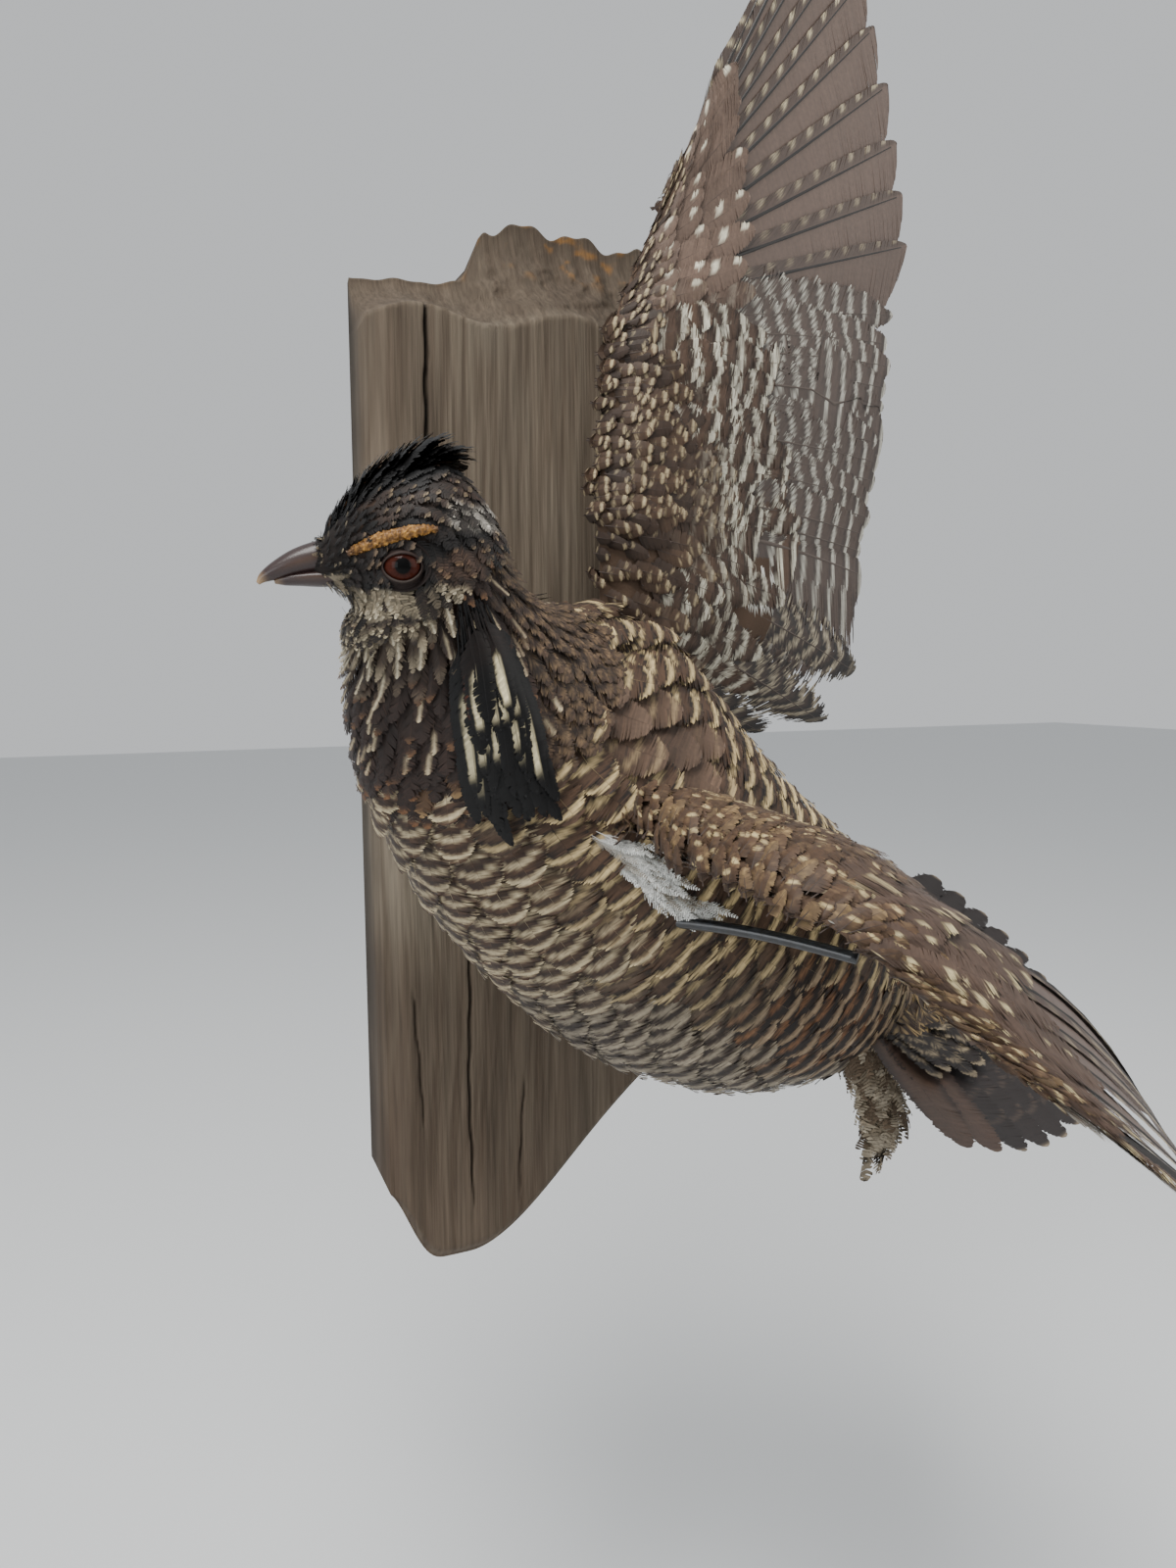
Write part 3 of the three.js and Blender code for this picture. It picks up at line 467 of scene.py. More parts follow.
def wing_thickness(v, q, wing):
    """Flesh and coverts: 17 mm at the shoulder, 6 at the wrist, 3.5 at the end, 0.8 past v 0.6."""
    arms = wing_lines(wing)[2]
    arm = np.interp(q, np.arange(len(arms)), arms)
    thick = np.interp(arm, [0, 1, 2], [17, 6, 3.5])
    nose = np.sqrt(np.clip(v / 0.1 + 0.05, 0, 1))
    return np.maximum(0.8, thick * nose * (1 - smooth(0.05, 0.6, v)))


for name, wing in WINGS.items():
    print(name, "wing from", wing_point(wing, 0, 0).round(), "to", wing_point(wing, 1, 25).round())

# %% [markdown]
# ## The tail as a fan
# Eighteen feathers spread from one base. The fan arches a little along each feather and its sides
# droop, like a playing-card fan held in a relaxed hand.

# %% Tail layout
TAIL_BASE = np.array([106.7, -97, -82])
TAIL_AXIS = unit(np.array([0.837, -0.402, -0.371]))
TAIL_NORMAL = unit(np.cross([0.528, 0.772, 0.355], TAIL_AXIS))
TAIL_RIGHT = unit(np.cross(TAIL_AXIS, TAIL_NORMAL))
TAIL_SPREAD = 1.1
TAIL_LENGTH = 102


def tail_point(v, share):
    """A point of the fan: share is -1 to 1 across it and v is 0 at the base and 1 at the tips."""
    v, share = np.broadcast_arrays(np.asarray(v, float), np.asarray(share, float))
    angle = (share * TAIL_SPREAD)[..., None]
    way = TAIL_AXIS * np.cos(angle) + TAIL_RIGHT * np.sin(angle)
    length = (TAIL_LENGTH - 6 * share ** 2)[..., None]
    rise = (3 * np.sin(np.pi * v) - 5 * share ** 2 * v)[..., None]
    return TAIL_BASE + way * length * v[..., None] + TAIL_NORMAL * rise


print("tail tip", tail_point(1, 0).round())

# %% [markdown]
# ## Surfaces as look-up tables
# A feather must bend with whatever it lies on. So each surface is measured once on a fine grid: its
# points, its outward normal, how many millimetres one step of each parameter covers, and the way gone
# so far along the lie. A feather drawn flat in millimetres is laid on it by looking its points up.

# %% Surface tables
def tabulate(shape, l_steps, s_steps, outside, raised=None):
    """Points, unit normals and step sizes of shape(l, s) on a grid. l runs with the lie of the
    feathers. The normal is turned to the side of outside(l, s), and the points are raised along it."""
    l, s = np.meshgrid(l_steps, s_steps, indexing="ij")
    points = shape(l, s)
    for lift_now in (False, True):
        along_l = np.gradient(points, l_steps, axis=0)
        along_s = np.gradient(points, s_steps, axis=1)
        normal = unit(np.cross(along_l, along_s))
        sign = np.sign(np.einsum("...i,...i", normal, outside(l, s)))[..., None]
        if not lift_now and raised is not None:
            points = points + normal * sign * raised(l, s)[..., None]
    sizes = np.stack([np.linalg.norm(along_l, axis=-1), np.linalg.norm(along_s, axis=-1)], axis=-1)
    sizes = np.maximum(sizes, 0.05)
    gone = np.cumsum(sizes[:, :, :1], axis=0) * (l_steps[1] - l_steps[0])
    data = np.concatenate([points, normal * sign, sizes, gone], axis=-1)
    return {"l": l_steps, "s": s_steps, "data": data, "hand": float(np.sign(sign.mean()))}


def look_up(table, l, s):
    """The nine measured values at l, s: blended from the four grid corners round it, and carried
    on in a straight line past the ends."""
    data = table["data"]
    i = (l - table["l"][0]) / (table["l"][1] - table["l"][0])
    j = (s - table["s"][0]) / (table["s"][1] - table["s"][0])
    i0 = np.clip(np.floor(i).astype(int), 0, len(table["l"]) - 2)
    j0 = np.clip(np.floor(j).astype(int), 0, len(table["s"]) - 2)
    u, v = (i - i0)[..., None], (j - j0)[..., None]
    return mix(mix(data[i0, j0], data[i0 + 1, j0], u), mix(data[i0, j0 + 1], data[i0 + 1, j0 + 1], u), v)


def steps(low, high, count):
    """Evenly spaced grid steps."""
    return np.linspace(low, high, count)


BODY_END = 14
body_table = tabulate(
    lambda l, s: body_point(BODY_END - l, s), steps(0.2, 13.95, 276), steps(-270, 270, 181),
    lambda l, s: body_point(BODY_END - l, s) - body_at(BODY_END - l)[0])
wing_tables = {}
for name, wing in WINGS.items():
    for face, sign in (("top", 1), ("under", -1)):
        wing_tables[name, face] = tabulate(
            lambda l, s, wing=wing: wing_point(wing, l, s), steps(0, 1, 81), steps(0, 26, 105),
            lambda l, s, wing=wing, sign=sign: sign * (wing_point(wing, l, s, 1) - wing_point(wing, l, s)),
            lambda l, s, wing=wing: wing_thickness(l, s, wing) / 2)
    wing_tables[name, "vane"] = tabulate(
        lambda l, s, wing=wing: wing_point(wing, l, s), steps(0, 1, 81), steps(0, 26, 105),
        lambda l, s, wing=wing: wing_point(wing, l, s, 1) - wing_point(wing, l, s))
tail_table = tabulate(tail_point, steps(0, 1, 41), steps(-1, 1, 61),
                      lambda l, s: TAIL_NORMAL + 0 * tail_point(l, s))
print("tables:", 2 + len(wing_tables))

# %% [markdown]
# ## One feather, ten thousand times
# A real vane is a row of barbs hooked together on a shaft. Each barb leaves the shaft, slants to the
# tip and ends at the feather's outline. So a barb is a thin ribbon that ends in a point, and a feather
# is two rows of ribbons and a ridge for the shaft. Where barbs unhook, three or four lean together
# and a gap opens. All feathers of a region are made at once as one array.

# %% Feather maker
def plumes(table, l, s, length, width, barbs=20, lift=(-6.0, 1.5), reach=0.25, blunt=2.3, ragged=0.06,
           clump=0.35, fill=1.1, tight=False, turn=0.0, bend=0.0, tilt=0.0, cup=1.2, shaft=0.5,
           base=0.12, vanes=(1.0, 1.0), across=3, patch=(0.003, 0.003), seed=1):
    """Feathers rooted at l, s. On the shaft a barb starts at share f. It ends at share
    1 - (1 - f)(1 - reach) of the length, at half the width times sqrt(1 - share ** blunt).
    Height goes from the first lift at the root to the second at the tip, less a cup at the edges.
    across counts the point pairs of a barb, fill is a barb's width over the space it has, and
    tight keeps that width to the end, as on a hooked vane."""
    rng = np.random.default_rng(seed)
    count = len(l)
    per = {"l": l, "s": s, "length": length, "width": width, "turn": turn, "bend": bend, "tilt": tilt}
    per = {key: np.broadcast_to(np.asarray(value, float), (count,))[:, None, None, None]
           for key, value in per.items()}
    levels = np.linspace(0, 0.97 if tight else 0.86, across)
    out = np.concatenate([np.repeat(levels, 2), [1.0]])
    edge = np.concatenate([np.tile([-1, 1], across), [0]])
    middle = base + (1 - base) * (np.arange(barbs) + 0.5) / barbs
    half = 0.5 * (1 - base) / barbs * fill
    side = np.array([-1.0, 1.0])[None, :, None, None]
    vane = np.array(vanes)[None, :, None, None]
    roll = rng.integers(0, 4, (count, 2, 1, 1))
    order = np.arange(barbs)[None, None, :, None]
    group = base + (1 - base) * (np.floor((order + roll) / 4) * 4 + 2 - roll) / barbs
    lean = clump * rng.random((count, 2, barbs, 1)) * rng.choice([0.2, 1.0], (count, 1, 1, 1))
    f = middle[None, None, :, None] + half * edge * (1 - (0.0 if tight else 0.22) * out)
    f = f + lean * (group - middle[None, None, :, None]) * out ** 2
    f = np.clip(f, 0, 1)
    f_out = 1 - (1 - f) * (1 - reach)
    grow = 1 + ragged * rng.normal(size=(count, 2, barbs, 1)) * out
    y = per["length"] * (f + out * (f_out - f) * grow)
    outline = np.sqrt(np.clip(1 - f_out ** blunt, 0, 1)) * (0.5 + 0.5 * smooth(0, 0.3, f_out))
    x = side * vane * out ** 0.95 * outline * per["width"] / 2 * grow
    toss = rng.normal(0, 0.03 if tight else 0.12, (count, 2, barbs, 1)) * out * per["width"] / 12
    barb_tone = rng.normal(0, 1, (count, 2, barbs, 1)) + 0 * x

    stations = 9 if tight else 4
    t = np.repeat(np.linspace(0, 0.97, stations), 3)[None, :]
    ridge = np.tile([-1, 0, 1], stations)[None, :]
    shaft_y = per["length"][:, :, 0, 0] * t
    shaft_x = ridge * shaft / 2 * (1 - 0.85 * t) + 0 * shaft_y
    shaft_high = (ridge == 0) * shaft * 0.45 * (1 - 0.85 * t) + 0 * shaft_y

    def flat(barb_values, shaft_values):
        return np.concatenate([barb_values.reshape(count, -1), shaft_values], axis=1)

    zero = np.zeros_like(shaft_x)
    x, y = flat(x, shaft_x), flat(y, shaft_y)
    big = {key: value[:, :, 0, 0] for key, value in per.items()}
    share = y / big["length"]
    low, top = (np.broadcast_to(np.asarray(v, float), (count,))[:, None] for v in lift)
    high = low + (top - low) * share ** 1.3 + flat(toss, shaft_high)
    high = high - cup * (2 * x / big["width"]) ** 2 + big["tilt"] * x
    high = high + rng.normal(0, 0.2, (count, 1)) * np.minimum(top, 2)
    angle = np.radians(big["turn"])
    swept = x * np.cos(angle) + y * np.sin(angle) + big["bend"] * y ** 2 / big["length"]
    ahead = y * np.cos(angle) - x * np.sin(angle)
    start = look_up(table, big["l"], big["s"])
    at_l = big["l"] + ahead / start[..., 6]
    for _ in range(3):
        here = look_up(table, at_l, big["s"] + 0 * at_l)
        at_l = at_l - (here[..., 8] - start[..., 8] - ahead) / np.maximum(here[..., 6], 0.3 * start[..., 6])
    here = look_up(table, at_l, big["s"] + 0 * at_l)
    at_s = big["s"] + swept / np.maximum(here[..., 7], table.get("least", 0.05))
    found = look_up(table, at_l, at_s)
    points = found[..., :3] + found[..., 3:6] * high[..., None]

    step = 2 * np.arange(across - 1)[:, None, None]
    ribbon = (step + np.array([(0, 2, 3), (0, 3, 1)])).reshape(-1, 3)
    barb_faces = np.concatenate([ribbon, [(2 * across - 2, 2 * across, 2 * across - 1)]])
    each = 2 * across + 1
    first = (np.arange(barbs) * each)[:, None, None]
    right = (first + barbs * each + barb_faces).reshape(-1, 3)
    left = (first + barb_faces[:, ::-1]).reshape(-1, 3)
    strips = np.array([(0, 1, 4), (0, 4, 3), (1, 2, 5), (1, 5, 4)])
    stem = ((np.arange(stations - 1) * 3)[:, None, None] + strips + barbs * 2 * each).reshape(-1, 3)
    faces = np.concatenate([right, left, stem])
    if table["hand"] > 0:
        faces = faces[:, ::-1]
    size = points.shape[1]
    triangles = (faces[None] + (np.arange(count) * size)[:, None, None]).reshape(-1, 3)

    low_s, high_s = table.get("span", (table["s"][0], table["s"][-1]))
    root_u = 0.02 + 0.96 * (big["s"] - low_s) / (high_s - low_s)
    root_v = 0.02 + 0.96 * (big["l"] - table["l"][0]) / (table["l"][-1] - table["l"][0])
    reach_x = x / big["width"] / vane.max()
    bake = np.stack([root_u + patch[0] * reach_x, root_v + patch[1] * share], axis=-1)
    edge_x = np.clip(np.abs(2 * x / big["width"]), 0, 0.92)
    rounded = big["length"] * (1 - (1 - edge_x ** 2) ** (1 / blunt))
    at = {
        "x": x, "X": 2 * x / big["width"], "share": share, "down": big["length"] - y,
        "length": big["length"] + 0 * x, "l": big["l"] + 0 * x, "s": big["s"] + 0 * x,
        "round": rounded, "shaft": flat(0 * barb_tone, zero + 1), "barb": flat(barb_tone, zero),
        "tone": rng.normal(0, 1, (count, 1)) + 0 * x, "pick": rng.random((count, 1)) + 0 * x,
        "points": points}
    return {"points": points.reshape(-1, 3), "triangles": triangles, "bake": bake.reshape(-1, 2), "at": at}


def strewn(table, l_low, l_high, s_low, s_high, gap_l, gap_s, seed=1, loose=0.25):
    """Feather roots in staggered rows: gap_l mm from row to row and gap_s mm within a row."""
    rng = np.random.default_rng(seed)
    rows = []
    l, row = l_low, 0
    across = np.linspace(s_low, s_high, 41)
    while l < l_high:
        sizes = look_up(table, np.full(41, l), across)[:, 6:8]
        here = max(2, int(round(sizes[:, 1].mean() * (s_high - s_low) / gap_s)))
        s = s_low + (s_high - s_low) * (np.arange(here) + 0.25 + 0.5 * (row % 2)) / here
        rows.append(np.stack([np.full(here, l), s], axis=1))
        l += gap_l / sizes[:, 0].mean()
        row += 1
    roots = np.concatenate(rows)
    size = look_up(table, roots[:, 0], roots[:, 1])[:, 6:8]
    shift = rng.uniform(-loose, loose, roots.shape) * np.array([gap_l, gap_s])
    roots = roots + shift / np.maximum(size, 0.2)
    return roots[:, 0], roots[:, 1]


body_table["span"] = (-180, 180)
body_table["least"] = 0.22
print("a feather of 24 barbs a side has", 24 * 2 * 5 + 12, "triangles")

# %% [markdown]
# ## Painting feathers
# Grouse feathers carry bars across them, counted from the tip, because pigment is laid down in
# pulses as the feather grows. A bar is a band of distance from the tip. It either runs straight
# across or follows the round tip. Each barb takes a slightly different shade.

# %% Bars, spots and shades
BAR_SOFT = 0.45


def bars(at, first, spacing, half, curve=0.5, wobble=0.5):
    """1 in bands of half-width half mm, centred first + n spacing mm from the tip, else 0."""
    fall = at["down"] - curve * at["round"] + wobble * 0.6 * at["barb"] * half
    which = np.maximum(np.round((fall - first) / spacing), 0)
    off = np.abs(fall - first - which * spacing)
    return 1 - smooth(half - BAR_SOFT, half + BAR_SOFT, off)


def window(value, low, high, soft=0.08):
    """1 where value is between low and high, with soft ends."""
    return smooth(low - soft, low + soft, value) * (1 - smooth(high - soft, high + soft, value))


def paint(base, *coats):
    """The base colour with each coat laid over it: a coat is a weight and a hex colour."""
    colour = linear(base) + 0 * coats[0][0][..., None]
    for weight, code in coats:
        colour = mix(colour, linear(code), weight[..., None])
    return colour


def shaded(at, colour, feather=0.12, barb=0.10, stem=None):
    """Each feather and each barb a little lighter or darker, and the shaft its own colour. Each feather is
    painted darker towards its root, a painted shade where the feathers over it lie. The power deepens
    the darks, a painted shade for the light trapped between barbules and between vanes."""
    # Painted shade: the power deepens every dark, for the shade between barbules and between vanes.
    colour = 0.92 * np.asarray(colour) ** 1.3
    light = np.exp(feather * at["tone"] + barb * at["barb"])
    # Painted shade: darker towards each feather's root, where the feathers over it lie.
    light = light * (0.72 + 0.28 * smooth(0.1, 0.75, at["share"]))
    colour = colour * light[..., None]
    if stem is not None:
        colour = mix(colour, linear(stem), at["shaft"][..., None])
    return colour


def feather_piece(name, coat, colour, material):
    """One joined mesh of all the feathers of a coat."""
    tint = colour.reshape(-1, 3)
    return make_piece(name, coat["points"], coat["triangles"], material, tint, coat["bake"])


# %% [markdown]
# ## Feather finishes
# Keratin is a dull plastic. A contour feather's loose barbs scatter light, so it looks matt. The
# tightly hooked vane of a flight feather has a low satin. Black crest plumes are the glossiest.
# A fine noise, about a millimetre across, stands for the barbules that are too small to model.

# %% Feather materials
def keratin(name, roughness, gleam, grain, fuzz=0.05):
    """Feather keratin: tint from the mesh, a faint mottling with grain in mm, and a sheen of weight
    fuzz for the loose ends that catch grazing light."""
    material, output = new_material(name)
    tint = add_node(material, "ShaderNodeAttribute", attribute_name="tint")
    place = add_node(material, "ShaderNodeTexCoord")
    barbules = add_node(material, "ShaderNodeTexNoise", {"Scale": 1 / (grain * MM), "Detail": 3.0},
                        {"Vector": place.outputs["Object"]})
    faint = add_node(material, "ShaderNodeMapRange", {"To Min": 0.72, "To Max": 1.24},
                     {"Value": barbules.outputs["Fac"]})
    shade = add_node(material, "ShaderNodeMix", {"Factor": 1.0},
                     {6: tint.outputs["Color"], 7: faint.outputs["Result"]},
                     data_type="RGBA", blend_type="MULTIPLY")
    finish(material, output,
           {"Roughness": roughness, "Specular IOR Level": gleam, "Sheen Weight": fuzz,
            "Sheen Roughness": 0.5, "IOR": 1.54}, {"Base Color": shade.outputs[2]})
    return material


contour_keratin = keratin("matt contour feather", 0.62, 0.28, 1.2)
flight_keratin = keratin("satin flight feather", 0.5, 0.38, 1.6)
tail_keratin = keratin("satin tail feather", 0.5, 0.38, 1.6)
black_keratin = keratin("glossy melanin feather", 0.42, 0.22, 1.0, 0.0)
down_keratin = keratin("leg down", 0.8, 0.15, 1.0)
print("finishes so far:", [material.name for material in bpy.data.materials])

# %% [markdown]
# ## Lofted parts
# Bill, combs and legs are lofts: an oval section carried along a curve. Each station gives a
# point, a side direction and two half sizes, and a smooth curve runs through all of them.

# %% Loft function and head directions
def lofted(stations, t, degrees, grow=0.0):
    """The station curve's point, plus side times half cos(angle), plus across times deep sin(angle)."""
    t, degrees = np.broadcast_arrays(np.asarray(t, float), np.asarray(degrees, float))
    v = through(stations, t)
    last = len(stations) - 1
    step = through(stations, np.clip(t + 0.05, 0, last)) - through(stations, np.clip(t - 0.05, 0, last))
    along = unit(step[..., :3])
    across = unit(np.cross(v[..., 3:6], along))
    side = unit(np.cross(along, across))
    angle = np.radians(degrees)[..., None]
    half, deep = v[..., 6:7] + np.asarray(grow)[..., None], v[..., 7:8] + np.asarray(grow)[..., None]
    return v[..., :3] + side * half * np.cos(angle) + across * deep * np.sin(angle)


def closed_tube(rings):
    """Points and outward triangles of a tube of rings whose two ends are closed at a middle point."""
    rows, columns = rings.shape[:2]
    points = np.concatenate([rings.reshape(-1, 3), rings[[0, -1]].mean(axis=1)])
    wall = grid_triangles(rows, columns, round_rows=True)
    c = np.arange(columns)
    start = np.stack([c, np.full(columns, rows * columns), (c + 1) % columns], 1)
    end = (rows - 1) * columns
    stop = np.stack([c + end, (c + 1) % columns + end, np.full(columns, rows * columns + 1)], 1)
    return points, outward(points, np.concatenate([wall, start, stop]))


HEAD_LEFT = unit(np.array([-0.146, -0.988, -0.05]))
HEAD_AHEAD = unit(np.array([-0.988, 0.148, -0.04]))
HEAD_UP = np.cross(HEAD_AHEAD, HEAD_LEFT)
EYE_AT = np.array([-82.6, -171, 58.8])
EYE_RADIUS = 5.4
EYE_OUT = 9.8


def head_place(points):
    """Millimetres ahead of, beside and above the point midway between the eyes."""
    p = points - EYE_AT
    return p @ HEAD_AHEAD, p @ HEAD_LEFT, p @ HEAD_UP


def mirrored(stations):
    """The same stations on the right side of the head."""
    there = stations.copy()
    there[:, :3] -= 2 * ((there[:, :3] - EYE_AT) @ HEAD_LEFT)[:, None] * HEAD_LEFT
    there[:, 3:6] -= 2 * (there[:, 3:6] @ HEAD_LEFT)[:, None] * HEAD_LEFT
    return there


LEG = np.array([(2.25, 22, -1, 9, 8), (1.8, 31, -4, 10, 8), (1.27, 38, -9, 8, 6.5), (0.74, 44.5, -15, 6.5, 5),
                (0.38, 50, -21.5, 6.5, 4), (0.28, 55, -28, 3.5, 2)])


def leg_stations(side, tuck):
    """A tucked leg in the body's own terms: place, across, rise and two half sizes."""
    centre, left, up, ahead, *_ = body_at(LEG[:, 0])
    at = centre + left * side * tuck * LEG[:, 1:2] + up * LEG[:, 2:3]
    return np.concatenate([at, ahead, LEG[:, 3:5]], axis=1)


legs = {"left": leg_stations(1, 1.0), "right": leg_stations(-1, 0.82)}
print("leg length", round(float(np.linalg.norm(np.diff(legs["left"][:, :3], axis=0), axis=1).sum())), "mm")

# %% [markdown]
# ## Markings
# The same functions colour the skin and the feathers on it, so a gap between feathers never shows a
# stray colour. Regions have ragged borders, because each feather is one region or the other. The
# face is mapped in millimetres round the eye: dark lore, pale cheek, dark line below and behind the
# eye, brown ear, grey-white nape, black crest and a pale throat.

# %% Face map
def face_colour(points, fleck, down):
    """Colour of the head by its place round the eye. fleck is 0 to 1 for each feather and down is
    the distance in mm from its tip: tips are paler on the flecked ones."""
    ahead, beside, up = head_place(points)
    rough = 0.9 * mottling(points * 0.28)
    a, h = ahead + rough, up + rough
    tip = 1 - smooth(0.5, 1.3, down)
    pale = tip * (fleck > 0.42)
    few = tip * (fleck > 0.6)
    crown = paint("#3b2d24", (pale, "#7d6f5a"), (window(fleck, 0.0, 0.25, 0.02), "#1d1715"))
    colour = crown
    layers = [
        (smooth(9, 12, a) * smooth(-5, -3, h), paint("#221d1b", (few, "#8a806d"))),
        (window(a, -10, 12, 1.5) * window(h, -7.5, 9, 1.0) * smooth(7, 9, np.abs(beside)),
         paint("#2c231f", (few, "#6d5f4f"))),
        (window(a, -17, 16, 1.5) * window(h, -13.5, -5.6, 0.8),
         paint("#958b78", (pale, "#b4ab98"), (window(fleck, 0, 0.3, 0.02), "#3a3029"))),
        (window(a, 12, 21, 1.2) * window(h, -6.8, -2.5, 0.8),
         paint("#857b69", (window(fleck, 0, 0.36, 0.02), "#2e2621"))),
        (window(a, -22, -9, 1.5) * window(h, -3.5, 3.5, 1.0), paint("#56453a", (pale, "#77624d"))),
        (window(a, -25, -6, 1.2) * window(h + 0.34 * (a + 5), 0.0, 4.6, 0.8),
         paint("#1f1917", (few * 0.4, "#5a4c40"))),
        (window(a, -8, 9.5, 1.0) * window(h, -5.8, -4.2, 0.4), paint("#191513", (few * 0.2, "#5a4c40"))),
        (window(a, -14, 11, 1.5) * window(h, -15.0, -13.5, 0.5), paint("#3a302a", (few * 0.4, "#7a6c5b"))),
        (window(a, -27, -13, 1.5) * window(h, 8.5, 15.5, 1.2),
         paint("#96928b", (window(fleck, 0, 0.35, 0.02), "#46403b"))),
        (1 - smooth(-16, -14, h),
         paint("#6f6556", (pale, "#aca28c"), (window(fleck, 0, 0.35, 0.02), "#382e27"))),
        (smooth(15, 18.5, h - 0.35 * (-a) + 0.25 * np.abs(beside) * -1) * (1 - smooth(7, 10, np.abs(beside))),
         paint("#0e0d10", (few * 0.2, "#2a2320"))),
    ]
    for weight, layer in layers:
        colour = mix(colour, layer, weight[..., None])
    return colour


# %% [markdown]
# ## Body markings
# Down the neck the pale throat breaks into streaks and then into dark brown. The upper breast has
# narrow cream crescents, the belly broad grey ones, the flank thin rusty bars on black. The back has
# cream bars edged with black.

# %% Neck and trunk painters
def neck_colour(at):
    """Colours of neck feathers by place along the rings and by turn round the body."""
    place = BODY_END - at["l"] + 0.08 * at["tone"]
    turn = np.abs(at["s"] + 5 * at["tone"])
    tip = 1 - smooth(0.9, 2.2, at["down"])
    streak = window(np.abs(at["X"]), -1, 0.14, 0.08) * (1 - smooth(5, 8, at["down"]))
    some = (at["pick"] > 0.6) * streak
    throat = paint("#574a3e", (1 - smooth(2.5, 5, at["down"]), "#8d8371"), (some, "#c0b8a4"),
                   (tip * (at["pick"] < 0.3), "#3a2e26"))
    streaky = paint("#3c2b22", (some, "#b3a78f"), (tip * (at["pick"] < 0.3), "#6f563f"))
    dark = paint("#38271e", (tip * (at["pick"] > 0.6), "#75573c"))
    nape = paint("#40332b", (bars(at, 2.5, 5, 0.8) * window(np.abs(at["X"]), -1, 0.6), "#7f6c55"),
                 (tip, "#5a4a3d"))
    colour = mix(nape, streaky, smooth(48, 60, turn)[..., None])
    front = smooth(88, 100, turn)
    colour = mix(colour, throat, (front * smooth(8.1, 8.5, place))[..., None])
    colour = mix(colour, dark, (front * (1 - smooth(7.1, 7.5, place)))[..., None])
    patch = window(place, 6.75, 7.15, 0.06) * window(at["s"], 94, 112, 3) * (at["pick"] > 0.3)
    return mix(colour, paint("#66503a", (tip, "#9c8462")), patch[..., None])


def trunk_colour(at):
    """Colours of trunk feathers by place along the rings and by turn round the body."""
    place = BODY_END - at["l"] + 0.1 * at["tone"]
    turn = np.abs(at["s"] + 5 * at["tone"])
    grey = at["pick"]
    crescents = paint("#5c4737", (bars(at, 3.9, 5.2, 0.9, 0.5) * 0.7, "#33261e"),
                      (bars(at, 1.9, 5.2, 0.75, 0.5), "#beb297"))
    belly = paint("#4f4239", (bars(at, 4.6, 5.2, 0.8, 0.5) * 0.8, "#33281f"),
                  (bars(at, 2.0, 5.2, 1.0, 0.5), "#999080"))
    flank = paint("#30241d", (bars(at, 1.6, 5.2, 0.8, 0.5), "#8a6748"),
                  (bars(at, 1.6, 10.4, 0.8, 0.5), "#a08f78"))
    back = paint("#5c4836", (bars(at, 2.9, 8.0, 2.2, 0.4), "#231a15"),
                 (bars(at, 2.6, 8.0, 0.95, 0.4), "#cdbb93"))
    shoulder = paint("#5f4b3b", (bars(at, 3.2, 7.0, 1.9, 0.35), "#2a1f19"),
                     (bars(at, 2.8, 7.0, 0.85, 0.35), "#c6b48e"))
    soft = paint("#5c4b3e", (1 - smooth(2, 9, at["down"]), "#6f5d4f"),
                 (window(grey, 0, 0.25, 0.02), "#7a6d62"))
    vent = paint("#6a5c4e", (bars(at, 2, 6, 1.2, 0.6) * 0.6, "#a89d8b"))
    colour = mix(crescents, belly, (1 - smooth(4.9, 5.5, place))[..., None])
    colour = mix(colour, flank, (window(turn, 42, 92, 4) * window(place, 1.6, 4.4, 0.25))[..., None])
    colour = mix(colour, shoulder, ((1 - smooth(78, 92, turn)) * smooth(4.2, 4.7, place))[..., None])
    colour = mix(colour, back, ((1 - smooth(40, 52, turn)) * (1 - smooth(4.9, 5.4, place)))[..., None])
    colour = mix(colour, soft, (window(at["s"], 2, 27, 5) * smooth(5.6, 5.9, place))[..., None])
    return mix(colour, vent, ((1 - smooth(0.9, 1.5, place)) * smooth(60, 80, turn))[..., None])


print("body painters ready")

# %% [markdown]
# ## One skin
# Under the feathers lies the skin over the stuffing. It is one mesh: the body tube, both wings' arms
# and both legs, each a closed shell, sunk by the depth of the coat. A pit is pressed in at each eye.

# %% The skin
def press_sockets(points):
    """Pushes points near each eye's axis inwards to just behind the eyeball's surface."""
    ahead, beside, up = head_place(points)
    off = np.hypot(ahead, up)
    floor_depth = EYE_OUT + np.sqrt(np.clip(EYE_RADIUS ** 2 - off ** 2, 0, None)) - 1.0
    deep = np.minimum(np.abs(beside), floor_depth)
    move = (off < 6.6) * (np.abs(beside) > 5) * (deep - np.abs(beside)) * np.sign(beside)
    return points + move[:, None] * HEAD_LEFT


def resting(l, s, down):
    """What a painter needs to know, for bare skin: as if every point were a feather's middle."""
    zero = np.zeros_like(l)
    return {"l": l, "s": s, "down": down, "X": zero, "round": zero, "barb": zero, "tone": zero,
            "pick": zero + 0.5, "share": zero + 0.7, "shaft": zero}


skin_place, skin_turn = np.meshgrid(steps(0.03, 13.97, 240), np.arange(-180, 180, 3.75), indexing="ij")
coat_depth = np.interp(skin_place, [0, 1, 6, 7.3, 8.8, 9.6, 14], [2.5, 7, 8, 6, 4.2, 1.5, 0.8])
shell, shell_faces = closed_tube(body_point(skin_place, skin_turn, -coat_depth))
shells = [(press_sockets(shell), shell_faces)]
flat_at = resting(BODY_END - skin_place, skin_turn, 3 + 2 * np.sin(14 * skin_place))
body_tint = mix(neck_colour(flat_at), trunk_colour(flat_at), (1 - smooth(6.6, 7, skin_place))[..., None])
plain_face = face_colour(body_point(skin_place, skin_turn), 0 * skin_place + 0.5, 0 * skin_place + 3)
body_tint = mix(body_tint, plain_face, smooth(8.9, 9.2, skin_place)[..., None])
